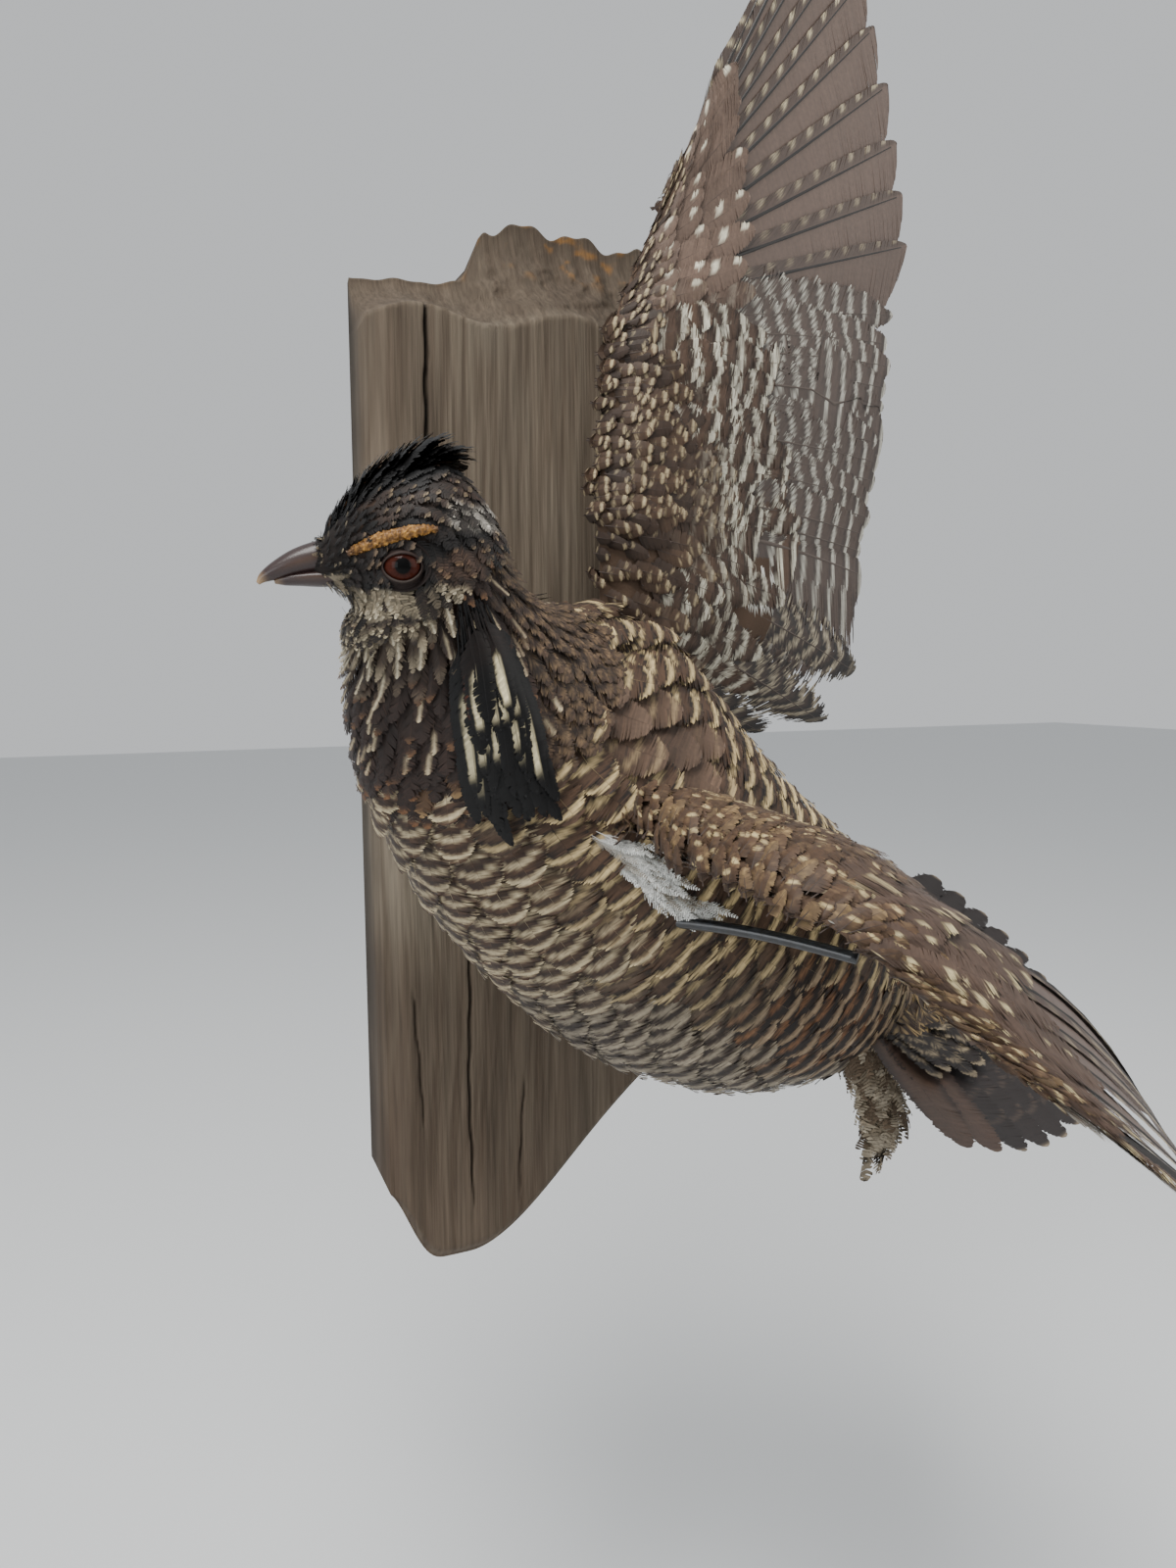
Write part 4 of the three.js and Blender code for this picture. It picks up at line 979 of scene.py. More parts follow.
# Painted shade: the body skin's colours are dimmed by a fifth, like the feathers' deepened darks.
tints = [np.concatenate([body_tint.reshape(-1, 3), body_tint[[0, -1], 0]]) * 0.8]
for name, wing in WINGS.items():
    v = np.array([0.55, 0.45, 0.35, 0.26, 0.18, 0.12, 0.07, 0.03, 0.01])
    ring_v = np.concatenate([v, v[::-1]])
    q, ring = np.meshgrid(steps(0, 25.8, 80), ring_v, indexing="ij")
    ring = ring * mix(1.0, 0.45, smooth(14.5, 19, q))
    inset = np.clip(wing_thickness(ring, q, wing) / 2 - 0.25, 0.05, 2.0)[..., None]
    top = look_up(wing_tables[name, "top"], ring, q)
    under = look_up(wing_tables[name, "under"], ring, q)
    is_top = (np.arange(2 * len(v)) < len(v))[None, :, None]
    side = np.where(is_top, top[..., :6], under[..., :6])
    shells.append(closed_tube(side[..., :3] - side[..., 3:] * inset))
    tints.append(linear("#4f3f33") * (1 + 0.2 * noise(shells[-1][0] * 0.4))[:, None])
for name, stations in legs.items():
    t, degrees = np.meshgrid(steps(0, 5, 24), np.arange(0, 360, 22.5), indexing="ij")
    shells.append(closed_tube(lofted(stations, t, degrees, -1.8)))
    tints.append(linear("#8a7d6b") * (1 + 0.2 * noise(shells[-1][0] * 0.4))[:, None])

skin_leather = relief_material(
    "tanned bird skin with pin feathers", "ShaderNodeTexNoise", {"Scale": 700.0, "Detail": 3.0}, 0.4, 0.0004,
    {"Roughness": 0.8, "Specular IOR Level": 0.2})
starts = np.cumsum([0] + [len(points) for points, _ in shells[:-1]])
skin_faces = np.concatenate([faces + start for (_, faces), start in zip(shells, starts)])
skin_points = np.concatenate([points for points, _ in shells])
skin = make_piece("skin", skin_points, skin_faces, skin_leather, np.concatenate(tints))
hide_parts("trunk", "neck", "head", "leg_left", "leg_right", "wing_left_inner", "wing_right_inner")

# %% [markdown]
# ## Trunk feathers
# Contour feathers grow in rows like roof tiles. Each root is buried under the tips of the row ahead.
# They are up to 37 mm long and 30 wide, and about 10 mm of each shows, which is two bars. Three
# pieces keep each mesh small.

# %% Back and side feathers
trunk_l, trunk_s = strewn(body_table, 7.05, 13.7, -180, 180, 10.4, 15.0, seed=21, loose=0.08)
toward_tail = smooth(12.6, 13.8, trunk_l)
trunk_length = mix(mix(28, 37, smooth(7, 8.6, trunk_l)), 28, toward_tail)
trunk_width = mix(mix(22, 30, smooth(7, 8.6, trunk_l)), 19, toward_tail)
for name, chosen in (
        ("back_feathers", np.abs(trunk_s) < 62),
        ("left_side_feathers", trunk_s >= 62),
        ("right_side_feathers", trunk_s <= -62)):
    turn = np.random.default_rng(3).normal(0, 3, chosen.sum())
    coat = plumes(body_table, trunk_l[chosen], trunk_s[chosen], trunk_length[chosen], trunk_width[chosen],
                  barbs=46, lift=(-6.0, 1.6), turn=turn, ragged=0.05, clump=0.45, fill=1.25, reach=0.17,
                  blunt=3.2, across=4, shaft=0.3, seed=31)
    feather_piece(name, coat, shaded(coat["at"], trunk_colour(coat["at"])), contour_keratin)

# %% [markdown]
# ## Neck feathers
# Up the neck the feathers shrink from 23 to 12 mm and lie tighter. They blend into the first
# breast rows.

# %% Neck feathers
neck_l, neck_s = strewn(body_table, 4.62, 7.35, -180, 180, 3.8, 4.6, seed=22)
grown = smooth(5.0, 7.3, neck_l)
turn = np.random.default_rng(4).normal(0, 8, len(neck_l))
coat = plumes(body_table, neck_l, neck_s, mix(12, 23, grown), mix(5.0, 13, grown), barbs=18,
              lift=(-3.5, 0.9), ragged=0.12, clump=0.7, fill=1.0, reach=0.4, blunt=1.9, turn=turn,
              shaft=0.3, seed=32)
neck_tint = shaded(coat["at"], neck_colour(coat["at"]), 0.13, 0.14)
feather_piece("neck_feathers", coat, neck_tint, contour_keratin)

# %% [markdown]
# ## Head feathers
# The head has the smallest feathers on the bird, 4 mm at the bill and 9 at the back. None may grow
# inside the ring of the eyelids or under the comb. One that would reach over the eye is shortened.

# %% Head feathers
COMB_LEFT = np.array([
    [-97.0, -178.2, 61.4, 0, 0, 1, 0.8, 0.9], [-93.2, -180.6, 63.2, 0, 0, 1, 1.5, 1.5],
    [-87, -183.7, 65.4, 0, 0, 1, 1.8, 1.6], [-81, -185.7, 66.8, 0, 0, 1, 1.4, 1.5],
    [-75.8, -186.6, 67.4, 0, 0, 1, 0.6, 0.9]])


def over_eye(l, s, wide=6.0, high=5.1):
    """True where a place on the head is inside the oval of the eyelids."""
    ahead, beside, up = head_place(look_up(body_table, l, s)[..., :3])
    return ((ahead / wide) ** 2 + (up / high) ** 2 < 1) & (np.abs(beside) > 7)


def under_comb(l, s):
    """True where a place on the head is within 1.4 mm of either comb's middle line."""
    p = look_up(body_table, l, s)[..., :3]
    line = np.concatenate([through(k, steps(0, 4, 30))[:, :3] for k in (COMB_LEFT, mirrored(COMB_LEFT))])
    near = p[:, None] - line[None]
    far = np.abs(near @ HEAD_UP) + 0.6 * np.abs(near @ HEAD_AHEAD) + 0.3 * np.abs(near @ HEAD_LEFT)
    return far.min(axis=1) < 1.4


head_l, head_s = strewn(body_table, 0.42, 4.9, -180, 180, 1.9, 2.3, seed=23)
kept = ~over_eye(head_l, head_s) & ~under_comb(head_l, head_s)
head_l, head_s = head_l[kept], head_s[kept]
grown = smooth(0.8, 4.6, head_l)
head_length = mix(3.6, 9.5, grown)
for share in (1.0, 0.75, 0.5):
    reach_l = head_l + share * head_length / look_up(body_table, head_l, head_s)[:, 6]
    head_length = np.where(over_eye(reach_l, head_s, 5.6, 4.7), head_length * 0.55, head_length)
turn = np.random.default_rng(5).normal(0, 9, len(head_l))
coat = plumes(body_table, head_l, head_s, head_length, mix(2.0, 4.6, grown), barbs=10, lift=(-0.9, 0.8),
              ragged=0.18, clump=0.7, fill=0.9, cup=0.2, shaft=0.16, turn=turn, seed=33)
face = face_colour(coat["at"]["points"], coat["at"]["pick"], coat["at"]["down"])
feather_piece("head_feathers", coat, shaded(coat["at"], face, 0.22, 0.24), contour_keratin)

# %% [markdown]
# ## Crest
# A stuffed bird's crest lies back in a short ragged tuft. Its plumes grow from the crown and rise
# more and more to the rear. They are the blackest and glossiest feathers on the bird.

# %% Crest plumes
CREST_COUNT = 420
rng = np.random.default_rng(6)
crest_l = rng.uniform(1.0, 3.5, CREST_COUNT)
crest_s = rng.normal(0, 1, CREST_COUNT) * 15
back_share = smooth(1.0, 3.2, crest_l)
crest_length = mix(6, 15, back_share) * rng.uniform(0.7, 1.05, CREST_COUNT)
crest_rise = mix(1.0, 8.5, back_share ** 1.3) * rng.uniform(0.2, 1.0, CREST_COUNT)
coat = plumes(body_table, crest_l, crest_s, crest_length, mix(3.0, 4.6, back_share), barbs=13,
              lift=(-0.8, crest_rise), ragged=0.2, clump=0.5, fill=1.1, cup=0.4, shaft=0.25,
              turn=-crest_s * 0.5 + rng.normal(0, 5, CREST_COUNT), seed=34)
at = coat["at"]
black = paint("#0d0c0f", (window(at["pick"], 0, 0.12, 0.01) * (1 - smooth(2, 5, at["down"])), "#4a3a2c"))
crest = feather_piece("crest_plumes", coat, shaded(at, black, 0.2, 0.2), black_keratin)
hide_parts("crest")

# %% [markdown]
# ## Neck tufts
# A cock grows a tuft of long stiff plumes on each side of the neck. Thirteen long black ones make
# the fan. Shorter ones lie on top in three layers, and more and more of those carry a cream stripe.

# %% Neck tufts
coats = []
tuft_tints = []
for side in (1, -1):
    rng = np.random.default_rng(7)
    for layer, (count, length, rise) in enumerate(((13, 74, 3.6), (11, 64, 4.6), (9, 50, 5.6), (7, 33, 5.8))):
        fan = np.linspace(-1, 1, count) * (1 - 0.1 * layer)
        l = 5.35 + 0.1 * layer + 0.3 * fan ** 2 + rng.uniform(-0.06, 0.06, count)
        s = side * (79 + 11 * fan + rng.uniform(-1.5, 1.5, count))
        trim = 1 - 0.2 * smooth(0.55, 1, fan) - 0.1 * smooth(-0.2, -1, fan)
        bend = side * (0.06 * smooth(0, -1, fan) - 0.14 * smooth(0, 1, fan))
        coat = plumes(body_table, l, s, length * trim * rng.uniform(0.82, 1.03, count), 7.5, barbs=40,
                      lift=(-1.0 + 0.6 * layer, rise), reach=0.12, blunt=4, ragged=0.05, clump=0.5,
                      fill=1.15, cup=0.8, across=5, shaft=0.6, turn=side * 8 * fan, bend=bend,
                      seed=40 + layer)
        at = coat["at"]
        striped = (at["pick"] > (0.95, 0.6, 0.42, 0.3)[layer]) * window(at["X"] * side, -0.05, 0.42, 0.04)
        striped = striped * window(at["share"], 0.4, 0.9, 0.05)
        rusty = (at["pick"] > 0.8) * window(at["X"] * side, 0.28, 0.8, 0.1)
        rusty = rusty * window(at["share"], 0.4, 0.75, 0.1)
        brown = (layer > 1) * (1 - smooth(0.3, 0.6, at["share"]))
        plume = paint("#100d0e", (brown, "#2b1f1a"), (rusty, "#6e3f22"), (striped, "#cfc6a9"))
        coats.append(coat)
        tuft_tints.append(shaded(at, plume, 0.1, 0.12))


def joined(coats):
    """Several coats as one: points, triangles and bake maps end to end."""
    offsets = np.cumsum([0] + [len(c["points"]) for c in coats[:-1]])
    both = {key: np.concatenate([c[key] for c in coats]) for key in ("points", "bake")}
    both["triangles"] = np.concatenate([c["triangles"] + o for c, o in zip(coats, offsets)])
    return both


tufts = feather_piece("neck_tufts", joined(coats), np.concatenate([t.reshape(-1, 3) for t in tuft_tints]),
                      black_keratin)
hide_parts("pinna_left", "pinna_right")

# %% [markdown]
# ## Flight feathers
# Ten primaries grow from the hand, fourteen secondaries from the arm and three tertials near the
# elbow. The vane ahead of the shaft is narrow and the one behind is broad. Seen from above, each
# feather lies over the one further out, so each vane is tilted with its leading side up.

# %% Flight feather painters
def primary_colour(at):
    """Grey-brown with cream notches on the leading web every 11 mm. The shaft is almost black."""
    notch = bars(at, 9, 11.0, 1.2, 0.0, wobble=0.6) * window(at["X"], 0.1, 1.2, 0.02) * (at["down"] > 4)
    notch = notch * mix(0.35, 1.0, smooth(18, 22, at["s"]))
    edge = window(at["X"], 0.03, 0.3, 0.02) * 0.6
    rear = 1 - smooth(-1.3, -0.5, at["X"])
    return paint("#75645a", (edge * 0.7, "#3d322c"), (rear * 0.5, "#84746a"), (notch, "#d8cdb0"))


def worn_primary_colour(at):
    """The same on the near wing, where the leading web is worn pale towards the tip."""
    worn = window(at["X"], 0.2, 1.2, 0.05) * smooth(0.45, 0.7, at["share"]) * 0.7
    return mix(primary_colour(at), linear("#cdbf9f"), worn[..., None])


def secondary_colour(at):
    """Brown with narrow grey-white bars right across, the first along the tip."""
    white = bars(at, 1.0, 9.4, 0.85, 0.12, wobble=0.7) * window(np.abs(at["X"]), -1, 1.05, 0.1)
    dusk = bars(at, 3.0, 9.4, 1.2, 0.1)
    return paint("#5f5047", (dusk * 0.6, "#3a2f29"), (white, "#c6c4ba"))


def tertial_colour(at):
    """Dark brown with wavy buff bars and a black end."""
    end = 1 - smooth(8, 14, at["down"])
    pale = bars(at, 3.5, 9.5, 1.1, 0.3, wobble=1.4) * (1 - 0.6 * end)
    return paint("#4d3e35", (end * 0.8, "#1f1815"), (bars(at, 6.5, 9.5, 1.5, 0.4), "#2b211c"),
                 (pale, "#b3aa96"))


# %% [markdown]
# ## Laying the flight feathers
# Each quill starts at the bone and ends at the sheet's edge, or a few millimetres short of it on the
# arm. So its length is read off the sheet's table.

# %% Flight feathers
def bone_v(wing, q):
    """How far down each feather's line its root lies, as a share of the whole line."""
    leads, tips, _ = wing_lines(wing)
    roots = np.concatenate(quill_roots(wing))
    share = np.linalg.norm(roots - leads, axis=1) / np.linalg.norm(tips - leads, axis=1)
    return np.interp(q, np.arange(QUILLS), share)


def flight_feathers(name, wing):
    """All 27 flight feathers of one wing on the middle sheet, in three groups."""
    vane_table = wing_tables[name, "vane"]
    coats, tints = [], []
    # first, end, width, two vanes, painter, bluntness, shaft width, lift and raggedness of a group
    groups = (
        (0, TERTIALS, 25.0, (0.9, 1.2), tertial_colour, 5.0, 1.6, 1.5, 0.5),
        (TERTIALS, FIRST_PRIMARY, 27.0, (0.8, 1.3), secondary_colour, 4.5, 1.6, 1.0, 0.12),
        (FIRST_PRIMARY, QUILLS, 44.0, (0.24, 1.5), primary_colour, 9.0, 2.2, 0.3, 0.03) if name == "right"
        else (FIRST_PRIMARY, QUILLS, 19.0, (0.4, 1.5), worn_primary_colour, 9.0, 1.6, 0.3, 0.03))
    for first, end, width, vanes, painter, blunt, stem, lift, ragged in groups:
        q = np.arange(first, end)
        root = bone_v(wing, q) - 0.01
        whole = look_up(vane_table, 1.0 + 0 * root, q.astype(float))[:, 8]
        length = whole - look_up(vane_table, root, q.astype(float))[:, 8]
        hand = q >= FIRST_PRIMARY
        shorter = np.where(hand, 0.0, 6.0 if name == "right" else 7.0)
        length = length - shorter + 2.0 * np.sin(q * 2.4) * (q < FIRST_PRIMARY)
        coat = plumes(
            vane_table, root, q, length, np.where(hand, width - 0.9 * (q - FIRST_PRIMARY), width),
            barbs=150, tight=True, across=6, lift=(0.2, lift), reach=0.11, blunt=blunt, tilt=0.05,
            cup=0.5, ragged=ragged * 0.5, clump=0.12, fill=1.25, shaft=stem, base=0.06,
            vanes=(vanes[1], vanes[0]), bend=np.where(hand, 0.0, -0.04 if name == "right" else -0.03),
            patch=(0.034, 0.8), seed=60 + first)
        coat["bake"][:, 1] = 0.05 + 0.85 * coat["at"]["share"].ravel()
        coats.append(coat)
        stem_colour = "#120e0c" if first == FIRST_PRIMARY else "#43372f"
        tint = shaded(coat["at"], painter(coat["at"]), 0.05, 0.035, stem_colour)
        tints.append(tint.reshape(-1, 3))
    return joined(coats), np.concatenate(tints)


for name, wing in WINGS.items():
    coat, tint = flight_feathers(name, wing)
    piece = feather_piece(f"flight_feathers_{name}", coat, tint, flight_keratin)
    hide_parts(f"wing_{name}_hand")

# %% [markdown]
# ## Coverts
# Small feathers cover the roots of the flight feathers on both faces of a wing. Rows of lesser
# coverts start small at the leading edge and grow towards the bone. Three rows of long coverts
# overlap the quills. On the upper face they carry cream spots, dashes and bars.

# %% Covert painters
def spot(at, middle_down, middle_x, high, wide):
    """1 inside an oval spot of half sizes high and wide mm, centred that far from tip and shaft."""
    off = np.hypot((at["down"] - middle_down) / high, (at["x"] - middle_x) / wide) + 0.1 * at["barb"]
    return 1 - smooth(0.8, 1.15, off)


def covert_colour(at):
    """Upper coverts: short cream dashes on small ones, wavy grey-white bars on long inner ones and
    pairs of pale spots on those of the hand."""
    long = smooth(16, 30, at["length"])
    hand = smooth(15.5, 17.5, at["s"])
    tone = at["pick"]
    dash = spot(at, 1.5, 3.0 * (tone - 0.5), 0.45 + 0.35 * tone, 0.9 + 2.2 * tone) * (tone > 0.2)
    second = spot(at, 5.2, -1.6, 0.5, 1.8) * (tone > 0.4) + spot(at, 5.8, 2.0, 0.5, 1.6) * (tone < 0.7)
    white = bars(at, 2.6, 8.6, 1.15, 0.2, wobble=0.8) * window(np.abs(at["X"]), -1, 0.86, 0.05)
    pair = spot(at, 5.0, 3.2, 2.0, 1.7) * (tone > 0.35) + spot(at, 16.0, 3.2, 2.2, 1.7) * (tone > 0.6)
    arm = paint("#604e41", (bars(at, 4.9, 8.6, 1.1, 0.2) * 0.7, "#33271f"), (white, "#c9c6b8"))
    small = paint("#5c4a3b", (window(tone, 0, 0.3, 0.02) * 0.6, "#3b2e26"),
                  (np.clip(dash + second * 0.8, 0, 1), "#b3a68a"))
    outer = paint("#7a695e", (np.clip(pair, 0, 1), "#d8d3c2"))
    colour = mix(small, arm, (long * (1 - hand))[..., None])
    return mix(colour, outer, (hand * smooth(10, 18, at["length"]))[..., None])


def mottled_covert_colour(at):
    """Ruffled coverts of the near wing: browner, finely mottled, with small cream flecks."""
    long = smooth(14, 26, at["length"])
    hand = smooth(13.5, 16.5, at["s"])
    tone = at["pick"]
    fleck = spot(at, 1.8, 0.0, 0.5, 1.7) * (tone > 0.55) + spot(at, 6.0, 1.6, 0.5, 1.6) * (tone > 0.7)
    speckle = smooth(0.15, 0.5, noise(at["points"] * 0.9))
    arm = paint("#634f3e", (speckle * 0.5, "#8b765b"), (bars(at, 5.5, 7.0, 1.0, 0.3) * 0.5, "#3a2c23"),
                (np.clip(fleck, 0, 1), "#c4b48e"))
    notch = bars(at, 4.0, 8.0, 1.1, 0.1) * window(at["X"], 0.1, 1.3, 0.05) * (tone > 0.3)
    outer = paint("#66554a", (notch, "#cbbf9c"))
    buff = paint("#7d6a52", (speckle * 0.7, "#a58f6b"))
    pale = mix(arm, buff, (window(tone, 0, 0.22, 0.02) * (1 - long))[..., None])
    return mix(pale, outer, (hand * smooth(12, 20, at["length"]))[..., None])


def lining_colour(at):
    """The under side: pale grey, darker on the hand and brown along the leading edge."""
    hand = smooth(15, 19, at["s"])
    edge = 1 - smooth(12, 14, at["length"])
    tip_spot = spot(at, 2.2, 0.0, 1.2, 1.8) * (at["pick"] > 0.5)
    lining = mix(paint("#c6c5bf", (bars(at, 3, 9, 0.8, 0.3) * 0.25, "#8d8880")),
                   paint("#8f877d", (1 - smooth(2, 6, at["down"]), "#b3aca0")), hand[..., None])
    return mix(lining, paint("#5c4a3b", (tip_spot, "#b9ab8c")), edge[..., None])


# %% [markdown]
# ## Rows of coverts
# Small rows run along the leading edge and long rows along the bone. Each root is moved a little at
# random, so no row looks ruled.

# %% Covert rows
def covert_rows(wing, seed):
    """Roots, lengths and widths of every covert on one face: v, q, length, width."""
    rng = np.random.default_rng(seed)
    leads, tips, _ = wing_lines(wing)
    rows = []
    for m in range(11):
        gap = 0.42 + 0.05 * m
        q = np.arange(-1.0 + 0.25 * (m % 2), 26.2, gap)
        chord = np.interp(q, np.arange(QUILLS), np.linalg.norm(tips - leads, axis=1))
        v = (-1.5 + 3.9 * m) / chord
        keep = v < np.maximum(bone_v(wing, q), 0.3 * (q < 4)) - 0.02 + 0.012 * (m < 3)
        rows.append(np.stack([v, q, np.full_like(q, 8 + 1.9 * m), np.full_like(q, 5 + 1.0 * m)], 1)[keep])
    for gap, shift, ahead, inner, outer, wide in (
            (0.72, 0.3, 0.045, 27, 20, 13), (0.85, 0.1, 0.025, 36, 30, 15), (0.95, 0.5, 0.0, 52, 48, 17)):
        q = np.arange(shift - 1.0, 26.0, gap)
        length = mix(inner, outer, smooth(14, 20, q)) * np.where(q < 2, 1.15, 1)
        rows.append(np.stack([bone_v(wing, q) - ahead, q, length, np.full_like(q, wide)], 1))
    rows = np.concatenate(rows)
    rows[:, :2] += rng.normal(0, 1, (len(rows), 2)) * (0.009, 0.16)
    rows[:, 2] *= rng.uniform(0.92, 1.08, len(rows))
    return rows


for name, wing in WINGS.items():
    for face in ("top", "under"):
        painter = covert_colour if name == "right" else mottled_covert_colour
        if face == "under":
            painter = lining_colour
        ruffle = 1.6 if name == "left" and face == "top" else 1.0
        rows = covert_rows(wing, 70)
        coats, tints = [], []
        wide = rows[:, 3] >= 13
        for chosen, barbs, across in ((~wide, 18, 3), (wide, 54, 4 if face == "top" else 3)):
            v, q, length, width = rows[chosen].T
            loose = ruffle if barbs < 20 or name == "left" else 0.5
            turn = np.random.default_rng(8).normal(0, 5 * loose ** 2, len(v))
            coat = plumes(wing_tables[name, face], v, q, length, width, barbs=barbs, reach=0.16,
                          lift=(-1.2, 1.1 * ruffle), blunt=3.4, ragged=0.06 * loose, clump=0.4 * loose,
                          fill=1.25, turn=turn, cup=0.7, tilt=0.03, shaft=0.45, across=across, seed=71)
            coats.append(coat)
            tints.append(shaded(coat["at"], painter(coat["at"]), 0.1, 0.07, "#3a2f29").reshape(-1, 3))
        feather_piece(f"coverts_{name}_{face}", joined(coats), np.concatenate(tints), contour_keratin)

# %% [markdown]
# ## White feathers in the armpit
# Soft white feathers, up to 24 mm long, show between the wing and the flank. They are downy, with
# few hooks, so their barbs clump and part.

# %% Armpit plumes
ARMPIT_COUNT = 90
rng = np.random.default_rng(9)
arm_l = BODY_END - rng.uniform(4.8, 5.55, ARMPIT_COUNT)
arm_s = rng.uniform(58, 64, ARMPIT_COUNT)
coat = plumes(body_table, arm_l, arm_s, rng.uniform(12, 24, ARMPIT_COUNT), 3.6, barbs=22,
              lift=(-2, 3.6), ragged=0.3, clump=0.9, fill=0.6, turn=rng.normal(-6, 8, ARMPIT_COUNT),
              shaft=0.2, seed=80)
at = coat["at"]
white = paint("#e4e4e0", (window(at["pick"], 0, 0.3, 0.02), "#a29b90"))
feather_piece("armpit_plumes", coat, shaded(at, white, 0.08, 0.12), down_keratin)

# %% [markdown]
# ## Tail
# Eighteen tail feathers make a fan. The middle pair lies on top, and each pair further out lies
# below the last. The bases are hidden by barred coverts above and below.

# %% Tail feathers
TAIL_PAIRS = 9
coats, tints = [], []
for side in (1, -1):
    share = np.linspace(0.055, 1.0, TAIL_PAIRS) * side
    coat = plumes(tail_table, np.full(TAIL_PAIRS, 0.18), share, TAIL_LENGTH * 0.83 - 6 * share ** 2, 21.0,
                  barbs=120, tight=True, across=5, lift=(0.5, 0.8), reach=0.12, blunt=5, ragged=0.06,
                  clump=0.3, fill=1.25, tilt=0.06 * side, cup=0.4, shaft=1.3, base=0.05,
                  patch=(0.05, 0.8), seed=90)
    coat["bake"][:, 1] = 0.05 + 0.85 * coat["at"]["share"].ravel()
    at = coat["at"]
    outer = smooth(0.75, 0.95, np.abs(at["s"]))
    tail_paint = mix(
        paint("#2f2522", (bars(at, 14, 13, 0.6, 0.2) * 0.45, "#6d5f53"),
              (1 - smooth(0.5, 1.6, at["down"]), "#8b8070")),
        paint("#715d50", (smooth(0.5, 0.9, np.abs(at["X"])), "#4d3e36")), outer[..., None] * (side == -1))
    coats.append(coat)
    tints.append(shaded(at, tail_paint, 0.08, 0.04, "#1d1715").reshape(-1, 3))
tail = feather_piece("tail_feathers", joined(coats), np.concatenate(tints), tail_keratin)
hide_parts("tail")

# %% [markdown]
# ## Tail coverts
# Their table is a surface that eases from the body on to the fan, so no seam shows between them.

# %% Tail coverts
RUMP_ROWS = ((0.02, 9, 30), (0.12, 10, 34), (0.24, 11, 38), (0.36, 12, 42), (0.5, 13, 42))


def rump(l, s, face):
    """From the body's back (face 1) or vent (face -1) at l = 0, easing on to the tail fan at l = 1."""
    body = body_point(2.0 - 1.5 * l, 58 * s if face == 1 else 180 - 58 * s, 1.0)
    fan = tail_point(0.1 + 0.6 * l, 0.95 * s) + TAIL_NORMAL * (face * mix(6, 1.5, l))[..., None]
    return mix(body, fan, smooth(0.1, 0.75, l)[..., None])


coats, tints = [], []
for face in (1, -1):
    rump_table = tabulate(lambda l, s, face=face: rump(l, s, face), steps(0, 1, 61), steps(-1, 1, 61),
                          lambda l, s, face=face: face * TAIL_NORMAL + 0 * rump(l, s, face))
    rump_table["least"] = 14.0
    rng = np.random.default_rng(10)
    for row, (l, count, length) in enumerate(RUMP_ROWS):
        share = np.linspace(-0.95, 0.95, count) + rng.normal(0, 0.03, count)
        coat = plumes(rump_table, np.full(count, l), share, length * rng.uniform(0.9, 1.1, count), 19.0,
                      barbs=34, across=4, lift=(-2.0, 1.8), ragged=0.06, clump=0.4, fill=1.15, cup=0.6,
                      shaft=0.5, turn=rng.normal(0, 4, count), seed=95 + row)
        at = coat["at"]
        under = paint("#2b211c", (bars(at, 1.8, 8.0, 0.9, 0.4), "#8f8470"))
        over = paint("#4d3d31", (bars(at, 3.5, 7.5, 1.7, 0.4), "#2a201b"),
                     (bars(at, 3.5, 7.5, 0.9, 0.4), "#a8946f"))
        coats.append(coat)
        tints.append(shaded(at, over if face == 1 else under, 0.1, 0.1).reshape(-1, 3))
feather_piece("tail_coverts", joined(coats), np.concatenate(tints), contour_keratin)

# %% [markdown]
# ## Feathered legs
# A prairie grouse is feathered down to the toes. The thigh is downy and pale, and barred plumes end
# the folded shank.

# %% Leg tufts
for name, stations in legs.items():
    leg_table = tabulate(
        lambda l, s, k=stations: lofted(k, l, s), steps(0, 5, 51), steps(-240, 240, 97),
        lambda l, s, k=stations: lofted(k, l, s) - through(k, l)[..., :3])
    leg_table["span"] = (-180, 180)
    leg_l, leg_s = strewn(leg_table, 0.1, 4.5, -180, 180, 4.0, 4.6, seed=24)
    turn = np.random.default_rng(11).normal(0, 12, len(leg_l))
    coat = plumes(leg_table, leg_l, leg_s, mix(20, 15, smooth(1, 4.0, leg_l)), 6.5, barbs=15,
                  lift=(-2.2, 4.6), ragged=0.25, clump=1.0, fill=0.8, shaft=0.25, turn=turn, seed=100)
    at = coat["at"]
    downy = paint("#9a8f7e", (1 - smooth(1, 4, at["down"]), "#b4ab9b"),
                  (window(at["pick"], 0, 0.3, 0.02), "#75685a"))
    barred = paint("#2b221d", (bars(at, 1.5, 6.0, 1.5, 0.3), "#a89e8e"))
    downy = mix(downy, barred, smooth(3.3, 4.0, at["l"])[..., None])
    feather_piece(f"leg_feathers_{name}", coat, shaded(at, downy, 0.1, 0.14), down_keratin)

# %% [markdown]
# ## Bill
# The bill is horn over bone, glossy from being handled and sealed. The upper half arches and hooks
# over the lower. Its section is round on top with a sharp lower edge. The horn thins and pales at the
# tip. Two lofts make it, with a shallow nostril pressed in at each side.

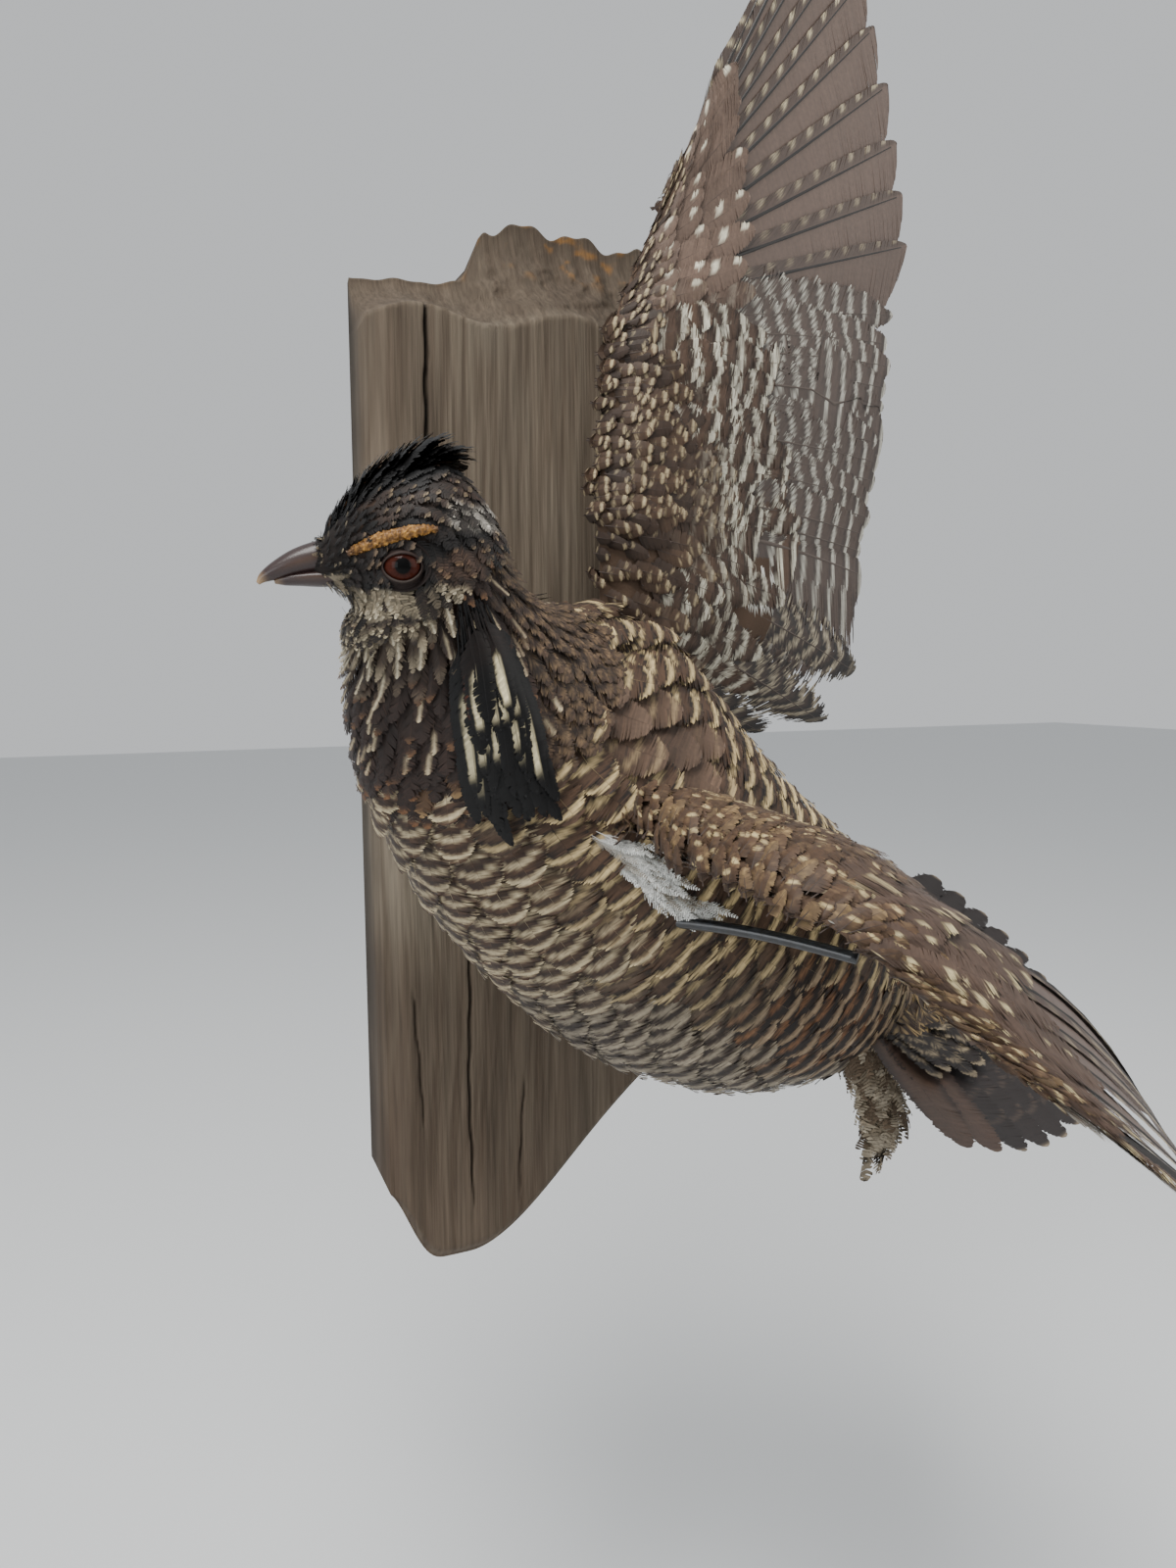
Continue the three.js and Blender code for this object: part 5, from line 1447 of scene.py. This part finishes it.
# %% Bill
HEAD_SIDE = tuple(HEAD_LEFT)
BILL_UPPER = np.array([
    (-96.0, -168.8, 62.0, *HEAD_SIDE, 4.6, 4.4), (-101.5, -168.0, 61.4, *HEAD_SIDE, 4.6, 4.3),
    (-107.5, -167.2, 60.0, *HEAD_SIDE, 3.9, 3.6), (-112.8, -166.6, 57.9, *HEAD_SIDE, 2.8, 2.5),
    (-116.4, -166.3, 56.0, *HEAD_SIDE, 1.6, 1.4), (-117.9, -166.2, 54.4, *HEAD_SIDE, 0.6, 0.5)])
BILL_LOWER = np.array([
    (-97.0, -168.7, 56.5, *HEAD_SIDE, 4.1, 2.7), (-102.5, -168.0, 56.3, *HEAD_SIDE, 3.8, 2.7),
    (-107.5, -167.3, 56.0, *HEAD_SIDE, 3.0, 2.2), (-111.4, -166.8, 55.5, *HEAD_SIDE, 1.9, 1.6),
    (-113.8, -166.5, 54.9, *HEAD_SIDE, 0.7, 0.6)])

bill_horn = relief_material(
    "sealed horn", "ShaderNodeTexNoise", {"Scale": 420.0, "Detail": 4.0}, 0.12, 0.0003,
    {"Roughness": 0.34, "Specular IOR Level": 0.4, "Coat Weight": 0.1, "Coat Roughness": 0.15})


def bill_half(stations, is_upper):
    """A mandible: its section is the loft's oval, but its meeting side is flattened to a crisp edge."""
    t, degrees = np.meshgrid(steps(0, len(stations) - 1, 60), np.arange(0, 360, 7.5), indexing="ij")
    angle = np.radians(degrees)
    points = lofted(stations, t, degrees)
    middle = through(stations, t)[..., :3]
    rise = (points - middle) @ HEAD_UP
    meeting = (rise > 0) & (not is_upper)
    points = points - np.where(meeting, 0.3 * rise, 0)[..., None] * HEAD_UP
    out = (points - middle) @ HEAD_LEFT
    pit = np.exp(-((t - 0.9) / 0.25) ** 2) * np.exp(-((rise - 1.0) / 1.0) ** 2) * is_upper
    points = points - (0.7 * pit * np.sign(out))[..., None] * HEAD_LEFT
    last = len(stations) - 1
    tip = smooth(0.72 * last, 0.98 * last, t)
    edge = np.exp(-(rise / 0.9) ** 2) * 0.5 * smooth(0.5, 0.9, np.abs(out) / stations[0, 6])
    # Painted shade: the nostril pit is painted near black, for the shade inside it.
    colour = paint("#2c1f1e", (edge, "#503c2f"), (tip * (0.85 if is_upper else 0.4), "#9d8261"),
                   (pit * 0.8, "#120d0c"))
    colour = colour * (1 + 0.1 * noise(points * 0.5))[..., None]
    tube, faces = closed_tube(points)
    return tube, faces, np.concatenate([colour.reshape(-1, 3), colour[[0, -1], 0]])


for name, stations, is_upper in (("bill_upper_horn", BILL_UPPER, True),
                                 ("bill_lower_horn", BILL_LOWER, False)):
    points, faces, colour = bill_half(stations, is_upper)
    piece = make_piece(name, points, faces, bill_horn, colour)
    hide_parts("bill_upper" if is_upper else "bill_lower")

# %% [markdown]
# ## Nostril bristles
# Short bristly feathers hide a grouse's nostril, so some grow at random on the bill's own base.

# %% Bristles over the nostril
BRISTLE_COUNT = 230
nose_table = tabulate(lambda l, s: lofted(BILL_UPPER, l, s), steps(0, 5, 51), steps(-200, 200, 81),
                      lambda l, s: lofted(BILL_UPPER, l, s) - through(BILL_UPPER, l)[..., :3])
rng = np.random.default_rng(12)
bristle_l = rng.uniform(0.0, 0.75, BRISTLE_COUNT)
bristle_s = rng.uniform(-180, 180, BRISTLE_COUNT)
coat = plumes(nose_table, bristle_l, bristle_s, rng.uniform(2.2, 4.4, BRISTLE_COUNT), 1.5, barbs=6,
              lift=(-0.3, 1.0), ragged=0.2, clump=0.5, fill=0.8, cup=0.1, shaft=0.16,
              turn=rng.normal(0, 14, BRISTLE_COUNT), seed=110)
at = coat["at"]
bristle = paint("#1f1a19", ((at["pick"] > 0.62) * (1 - smooth(0.8, 2.4, at["down"])), "#7f7462"))
feather_piece("nostril_bristles", coat, shaded(at, bristle, 0.15, 0.1), contour_keratin)

# %% [markdown]
# ## Glass eyes
# A taxidermist sets a glass eye painted on its back. Clear glass over the paint gives a small sharp
# highlight. The ball is a numpy sphere whose front swells a little, like a cornea. The paint is a
# tint by angle from the eye's axis: black pupil, red-brown iris with fine spokes and a dark rim.

# %% Glass eyes
eye_glass, output = new_material("painted glass eye")
tint = add_node(eye_glass, "ShaderNodeAttribute", attribute_name="tint")
finish(eye_glass, output,
       {"Roughness": 0.5, "Specular IOR Level": 0.03, "Coat Weight": 0.16, "Coat Roughness": 0.03},
       {"Base Color": tint.outputs["Color"]})


def eye_place(side, off, around, radius):
    """A point at angle off from the eye's outward axis, turned around it from straight ahead."""
    centre = EYE_AT + HEAD_LEFT * EYE_OUT * side
    way = HEAD_LEFT * side * np.cos(off)[..., None]
    way = way + HEAD_AHEAD * (np.sin(off) * np.cos(around))[..., None]
    way = way + HEAD_UP * (np.sin(off) * np.sin(around))[..., None]
    return centre + way * radius[..., None]


for name, side in (("left", 1), ("right", -1)):
    off, around = np.meshgrid(steps(0.02, np.pi - 0.02, 60), np.radians(np.arange(0, 360, 5)), indexing="ij")
    cornea = EYE_RADIUS + 0.35 * np.exp(-(off / 0.62) ** 2)
    points = eye_place(side, off, around, cornea)
    spokes = 0.5 + 0.5 * noise(np.stack([around * 9, off * 3, 0 * off + side * 5], -1))
    pupil = 1 - smooth(0.36, 0.40, off)
    rim = smooth(0.86, 1.0, off)
    inner = 1 - smooth(0.36, 0.62, off)
    iris = paint("#33150e", (spokes * 0.5, "#4b2217"), (inner * 0.6, "#240c07"), (rim, "#1d0e0a"),
                 (pupil, "#020202"))
    ball, faces = closed_tube(points)
    colour = np.concatenate([iris.reshape(-1, 3), iris[[0, -1], 0]])
    piece = make_piece(f"glass_eye_{name}", ball, faces, eye_glass, colour)
    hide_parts(f"eye_{name}")

# %% [markdown]
# ## Eyelids
# The lids are what give the bird its look. Each is a rolled rim that hugs the glass, then a band of
# bare skin that meets the feathers. The rim is dark and the lower lid has a thin paler line.

# %% Eyelids
lid_skin = relief_material(
    "dry eyelid skin", "ShaderNodeTexNoise", {"Scale": 1100.0, "Detail": 3.0}, 0.5, 0.0002,
    {"Roughness": 0.6, "Specular IOR Level": 0.15})

cheek_l, cheek_s = np.meshgrid(steps(1.6, 5.2, 181), steps(25, 150, 251), indexing="ij")
cheek = head_place(look_up(body_table, cheek_l, cheek_s)[..., :3].reshape(-1, 3))


def head_surface(ahead, up):
    """How far out the head's own surface is beside a point ahead and up of the eye, in mm."""
    near = (cheek[0][None] - ahead.reshape(-1, 1)) ** 2 + (cheek[2][None] - up.reshape(-1, 1)) ** 2
    return cheek[1][near.argmin(axis=1)].reshape(ahead.shape)


for name, side in (("left", 1), ("right", -1)):
    share, around = np.meshgrid(steps(0, 1, 15), np.radians(np.arange(0, 360, 5)), indexing="ij")
    opening_high = np.where(np.sin(around) > 0, 2.9, 3.6)
    corner = 1 + 0.10 * np.abs(np.cos(around)) ** 6
    opening = corner / np.sqrt((np.cos(around) / 4.3) ** 2 + (np.sin(around) / opening_high) ** 2)
    outer = 1 / np.sqrt((np.cos(around) / 7.4) ** 2 + (np.sin(around) / 6.4) ** 2)
    distance = mix(opening, outer, np.clip((share - 0.12) / 0.88, 0, 1))
    ahead, up = distance * np.cos(around), distance * np.sin(around)
    on_ball = EYE_OUT + np.sqrt(np.clip((EYE_RADIUS + 0.2) ** 2 - distance ** 2, 0.5, None))
    rim = 0.95 * np.exp(-((share - 0.24) / 0.14) ** 2) - 0.5 * (share < 0.06)
    out = mix(on_ball + rim, head_surface(ahead, up) + 0.15, smooth(0.3, 1.0, share))
    points = EYE_AT + HEAD_LEFT * (side * out)[..., None]
    points = points + HEAD_AHEAD * ahead[..., None] + HEAD_UP * up[..., None]
    below = smooth(-0.25, -0.8, np.sin(around))
    pale_line = window(share, 0.16, 0.27, 0.03) * below
    colour = paint("#211a18", (window(share, 0.1, 0.34, 0.05) * 0.6, "#3a2f2b"), (pale_line * 0.8, "#4a443f"))
    faces = grid_triangles(*share.shape, round_rows=True)
    normal = np.cross(points[1, 0] - points[0, 0], points[0, 1] - points[0, 0]) @ HEAD_LEFT * side
    faces = faces if normal < 0 else faces[:, ::-1]
    make_piece(f"eyelid_{name}", points, faces, lid_skin, colour.reshape(-1, 3))

# %% [markdown]
# ## Combs
# Over each eye is a comb of bare skin covered in tiny grains. In life it is orange. On an old mount
# it is repainted or fades to ochre. The grains are real bumps of about half a millimetre. Their tops
# are painted lighter, a painted highlight, and the dips between them darker, a painted shade.

# %% Combs
comb_skin = relief_material(
    "painted comb skin", "ShaderNodeTexVoronoi", {"Scale": 1600.0}, 0.6, 0.0003,
    {"Roughness": 0.5, "Specular IOR Level": 0.4}, invert=True)

for name, stations in (("left", COMB_LEFT), ("right", mirrored(COMB_LEFT))):
    t, degrees = np.meshgrid(steps(0, 4, 110), np.arange(0, 360, 7.5), indexing="ij")
    plain = lofted(stations, t, degrees)
    grain = noise(plain * 1.7) + 0.5 * noise(plain * 3.7)
    points = lofted(stations, t, degrees, 0.34 * grain + 0.3 * noise(plain * 0.55))
    # Painted highlight on the grain tops and painted shade in the dips between them, both by grain height.
    high = smooth(-0.7, 0.9, grain)
    colour = paint("#54350f", (high, "#94682a"), (smooth(0.5, 1.2, grain) * 0.7, "#b98e46"),
                   (smooth(0.9, 0.0, t) + smooth(3.5, 4.0, t), "#3f2812"))
    tube, faces = closed_tube(points)
    tint = np.concatenate([colour.reshape(-1, 3), colour[[0, -1], 0]])
    piece = make_piece(f"comb_grains_{name}", tube, faces, comb_skin, tint)
    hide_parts(f"comb_{name}")

# %% [markdown]
# ## Driftwood slab
# The mount is a board of old weathered wood. Sun and rain wash out the soft spring wood, so the hard
# rings stand up as ridges along the grain, and drying opens cracks. The top is a rotted edge. The
# form is a fine grid over the slab's outline, with ridges, cracks and rot pressed in as real depth.

# %% Slab outline and depth
PLAQUE = {"left": -62, "right": 75, "thick": 45, "top": 207, "shoulder": 182, "tip": -202, "slant": -114,
          "ledge": 162, "top_thick": 7}
CRACKS = np.array([
    (-41.5, 172, -40.0, 90, 0.8, 4.5), (30.0, 162, 25.0, 100, 0.8, 5.0), (-30.0, -50, -31.0, -190, 0.6, 3.0),
    (-52.0, -90, -50.0, -150, 0.5, 2.0), (48.0, 60, 46.0, -60, 0.6, 2.5),
    (-8.0, -130, -10.0, -185, 0.5, 2.0)])


def slab_bottom(x):
    """A rounded tongue on the left that rises in a slant to the right."""
    slant = mix(PLAQUE["tip"], PLAQUE["slant"], smooth(-30, 96, x) ** 0.9)
    return slant + 30 * (1 - smooth(PLAQUE["left"] - 2, -40, x)) ** 1.6


def slab_top(x):
    """Low on the left, then a broken crown."""
    crown = smooth(-18, -6, x)
    broken = 4 * np.sin(x * 0.16) * np.sin(x * 0.083 + 1) + 0.9 * np.sin(x * 0.53)
    low = PLAQUE["shoulder"] + 0.08 * (x - PLAQUE["left"])
    return mix(low, PLAQUE["top"], crown) + broken * (0.3 + 0.7 * crown) - 12 * smooth(58, 76, x)


def slab_depth(x, z):
    """Thickness of the wood: eroded to an edge above the ledge, and rounded at its sides."""
    eroded = smooth(PLAQUE["ledge"] + 3 * np.sin(x * 0.11), slab_top(x), z) ** 0.5
    edge = np.minimum(np.minimum(x - PLAQUE["left"], PLAQUE["right"] - x), z - slab_bottom(x))
    rounded = 6 * (1 - smooth(0, 9, edge)) ** 2
    belly = 3.5 * np.sin(x * 0.045 + 0.4) * np.sin(z * 0.013 + 0.6)
    return mix(PLAQUE["thick"] + belly - rounded, PLAQUE["top_thick"], eroded), eroded


def crack_depth(x, z):
    """Depth of the drying cracks: each is a thin wavering V along the grain that fades at its ends."""
    total = 0 * x
    for x_high, z_high, x_low, z_low, wide, deep in CRACKS:
        t = (z_high - z) / (z_high - z_low)
        line = mix(x_high, x_low, t) + 0.5 * np.sin(z * 0.07 + x_high) + 0.25 * np.sin(z * 0.31)
        ends = smooth(-0.02, 0.12, t) * (1 - smooth(0.8, 1.02, t))
        total = np.maximum(total, deep * ends * (1 - smooth(0, wide * (0.4 + ends), np.abs(x - line))))
    return total


print("slab", PLAQUE["right"] - PLAQUE["left"], "mm wide")

# %% [markdown]
# ## The slab as one closed mesh
# The front is a grid of depths. Every ninth column is repeated flat at the back, in reverse order,
# so each row of points runs once round the board. Two strips close its foot and its crown.

# %% Slab mesh
wide_steps, tall_steps = 210, 330
share_x = np.concatenate([[0, 0.002, 0.006], steps(0.012, 0.988, wide_steps - 6), [0.994, 0.998, 1]])
share_z = np.concatenate([[0, 0.001, 0.003], steps(0.006, 0.994, tall_steps - 6), [0.996, 0.998, 1]])
rise, run = np.meshgrid(share_z, share_x, indexing="ij")
slab_x = mix(PLAQUE["left"], PLAQUE["right"], run)
slab_z = mix(slab_bottom(slab_x), slab_top(slab_x), rise)
depth, eroded = slab_depth(slab_x, slab_z)
wander = 1.8 * noise(np.stack([slab_x * 0.03, slab_z * 0.012, 0 * slab_x + 3], -1))
grain_at = np.stack([(slab_x + 3 * wander) * 0.6, slab_z * 0.02, 0 * slab_x + 7], -1)
ridges = noise(grain_at) + 0.5 * noise(grain_at * (2.3, 1.6, 1))
rot = mottling(np.stack([slab_x * 0.16, slab_z * 0.2, 0 * slab_x], -1), (1, 2.2, 4.7))
inside = smooth(0, 0.02, run) * smooth(0, 0.02, 1 - run) * smooth(0, 0.01, rise) * smooth(0, 0.006, 1 - rise)
crack = crack_depth(slab_x, slab_z) * inside * (1 - eroded)
worn = smooth(0.02, 0.25, eroded)
depth = depth + inside * (0.2 * ridges * (1 - worn) + 2.2 * rot * worn * smooth(6, 18, depth)) - crack
depth = np.maximum(depth, 3.0)
# Painted shade: cracks are painted near black by their depth.
painted_crack_shade = smooth(0.5, 4, crack)
# The slab is painted darker towards the bottom.
darker_towards_bottom = smooth(-60, -190, slab_z)
stain = mottling(np.stack([slab_x * 0.035, slab_z * 0.016, 0 * slab_x + 5], -1), (1, 2.2))
wood_tint = paint("#5d5347", (smooth(-0.2, 0.9, ridges) * 0.4, "#696053"),
                  (1 - smooth(-0.9, 0.2, ridges), "#50463b"),
                  (smooth(0.0, 0.9, stain) * 0.5, "#4a4036"), (smooth(0.0, 0.9, -stain) * 0.4, "#6f685c"),
                  (worn * 0.7, "#473d33"),
                  (worn * smooth(0.3, 0.9, rot) * smooth(180, 196, slab_z) * 0.8, "#7a5830"),
                  (darker_towards_bottom * 0.5, "#46392f"), (painted_crack_shade, "#15110e"))
loose = 1 + 0.12 * noise(np.stack([slab_x * 0.05, slab_z * 0.02, 0 * slab_x], -1))
wood_tint = wood_tint * loose[..., None]

rows, columns = slab_x.shape
rear = slice(None, None, -9)
ring_x = np.concatenate([slab_x, slab_x[:, rear]], axis=1)
ring_y = np.concatenate([-depth, 0 * slab_x[:, rear]], axis=1)
ring_z = np.concatenate([slab_z, slab_z[:, rear]], axis=1)
# The back repeats every ninth column's colours a fifth darker, so the cracks' painted shade shows there as
# dark marks on flat wood.
ring_tint = np.concatenate([wood_tint, 0.8 * wood_tint[:, rear]], axis=1)
slab_points = np.stack([ring_x, ring_y, ring_z], -1)
around = slab_points.shape[1]


def end_strip(front_line, back_line):
    """Fills the end between two lines of point numbers: each front point joins the nearest back one."""
    b = back_line[np.round(np.linspace(0, len(back_line) - 1, len(front_line))).astype(int)]
    first = np.stack([front_line[:-1], front_line[1:], b[1:]], 1)
    second = np.stack([front_line[:-1], b[1:], b[:-1]], 1)[b[1:] != b[:-1]]
    return np.concatenate([first, second])


number = np.arange(rows * around).reshape(rows, around)
foot = end_strip(number[0, :columns], number[0, columns:][::-1])[:, ::-1]
crown = end_strip(number[-1, :columns], number[-1, columns:][::-1])
slab_faces = np.concatenate([grid_triangles(rows, around, round_rows=True), foot, crown])
slab_faces = outward(slab_points.reshape(-1, 3), slab_faces)
print("slab", rows, "rows of", around, "points")

# %% [markdown]
# ## Weathered wood finish
# The board is a dull grey-brown where light has broken down the lignin, and warmer where rot has
# opened it. Fine dark streaks run along the grain, a millimetre or so apart. The wood is dry, so
# it is rough with hardly any shine.

# %% Slab material
weathered_wood, output = new_material("weathered driftwood")
tint = add_node(weathered_wood, "ShaderNodeAttribute", attribute_name="tint")
place = add_node(weathered_wood, "ShaderNodeTexCoord")
fibres = stretched_noise(weathered_wood, place, (900.0, 260.0, 28.0), 6.0, 0.4)
stains = stretched_noise(weathered_wood, place, (130.0, 80.0, 9.0), 5.0)
fibre_tone = add_node(weathered_wood, "ShaderNodeMapRange",
                      {"From Min": 0.3, "From Max": 0.7, "To Min": 0.74, "To Max": 1.2}, {"Value": fibres})
stain_tone = add_node(weathered_wood, "ShaderNodeMapRange",
                      {"From Min": 0.3, "From Max": 0.7, "To Min": 0.84, "To Max": 1.12}, {"Value": stains})
tone = add_node(weathered_wood, "ShaderNodeMath",
                links={0: fibre_tone.outputs["Result"], 1: stain_tone.outputs["Result"]},
                operation="MULTIPLY")
shade = add_node(weathered_wood, "ShaderNodeMix", {"Factor": 1.0},
                 {6: tint.outputs["Color"], 7: tone.outputs[0]},
                 data_type="RGBA", blend_type="MULTIPLY")
bump = add_node(weathered_wood, "ShaderNodeBump", {"Strength": 0.6, "Distance": 0.0006}, {"Height": fibres})
finish(weathered_wood, output, {"Roughness": 0.88, "Specular IOR Level": 0.2},
       {"Base Color": shade.outputs[2], "Normal": bump.outputs["Normal"]})
slab = make_piece("driftwood_slab", slab_points, slab_faces, weathered_wood,
                  ring_tint.reshape(-1, 3))
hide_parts("plaque")

# %% [markdown]
# ## Rods and strut
# Two steel rods hold the bird off the wood. Each has a small flange against the slab. A thin black
# wire reaches from the body to below the near wing. Rods and wire are profiles carried along a
# path: a radius at each station of a line, and the wire's line bows up a little.

# %% Rods and strut
rod_steel, output = new_material("drawn steel rod")
place = add_node(rod_steel, "ShaderNodeTexCoord")
drawn_lines = stretched_noise(rod_steel, place, (900.0, 30.0, 900.0), 4.0)
worn = add_node(rod_steel, "ShaderNodeMapRange", {"To Min": 0.28, "To Max": 0.55}, {"Value": drawn_lines})
tarnish = set_ramp(add_node(rod_steel, "ShaderNodeValToRGB", links={"Fac": drawn_lines}),
                   [(0.35, "#55524f"), (0.7, "#85827d")])
finish(rod_steel, output, {"Metallic": 1.0},
       {"Base Color": tarnish.outputs["Color"], "Roughness": worn.outputs["Result"]})

black_wire, output = new_material("black enamelled wire")
place = add_node(black_wire, "ShaderNodeTexCoord")
dust = add_node(black_wire, "ShaderNodeTexNoise", {"Scale": 500.0, "Detail": 4.0},
                {"Vector": place.outputs["Object"]})
dusty = set_ramp(add_node(black_wire, "ShaderNodeValToRGB", links={"Fac": dust.outputs["Fac"]}),
                 [(0.4, "#06070a"), (0.75, "#1d2229")])
finish(black_wire, output, {"Roughness": 0.32, "Coat Weight": 0.3, "Coat Roughness": 0.2},
       {"Base Color": dusty.outputs["Color"]})


def turned(path, radii, sides=32):
    """Circles of the given radii round each point of a path, as a closed tube."""
    along = unit(np.gradient(path, axis=0))
    side = unit(np.cross(along, [0.0, 0.0, 1.0]))
    up = np.cross(side, along)
    angle = np.linspace(0, 2 * np.pi, sides, endpoint=False)[None, :, None]
    circle = side[:, None] * np.cos(angle) + up[:, None] * np.sin(angle)
    return closed_tube(path[:, None] + radii[:, None, None] * circle)


ROD_RADIUS = 4.0
WIRE_RADIUS = 1.8
for name, x, z in (("front", 8, -20), ("rear", 52, -70)):
    face = -float(slab_depth(np.array(float(x)), np.array(float(z)))[0])
    flange = face + np.array([1.5, -1.2, -2.0, -2.4, -3.2, -4.0, -20.0])
    y = np.concatenate([flange, [-96.0, -112.0]])
    radii = np.array([9.5, 9.5, 9.1, 8.2, 5.4] + 4 * [ROD_RADIUS])
    points, faces = turned(np.stack([0 * y + x, y, 0 * y + z], 1), radii)
    piece = make_piece(f"steel_rod_{name}", points, faces, rod_steel)
    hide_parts(f"mount_rod_{name}")

t = steps(0, 1, 40)[:, None]
strut_path = mix(np.array([-12, -152, -45.0]), np.array([38, -206, -50.0]), t)
strut_path[:, 2] += 2.5 * np.sin(np.pi * t[:, 0])
points, faces = turned(strut_path, np.full(len(t), WIRE_RADIUS), 20)
strut = make_piece("wing_prop_wire", points, faces, black_wire)
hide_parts("wing_strut")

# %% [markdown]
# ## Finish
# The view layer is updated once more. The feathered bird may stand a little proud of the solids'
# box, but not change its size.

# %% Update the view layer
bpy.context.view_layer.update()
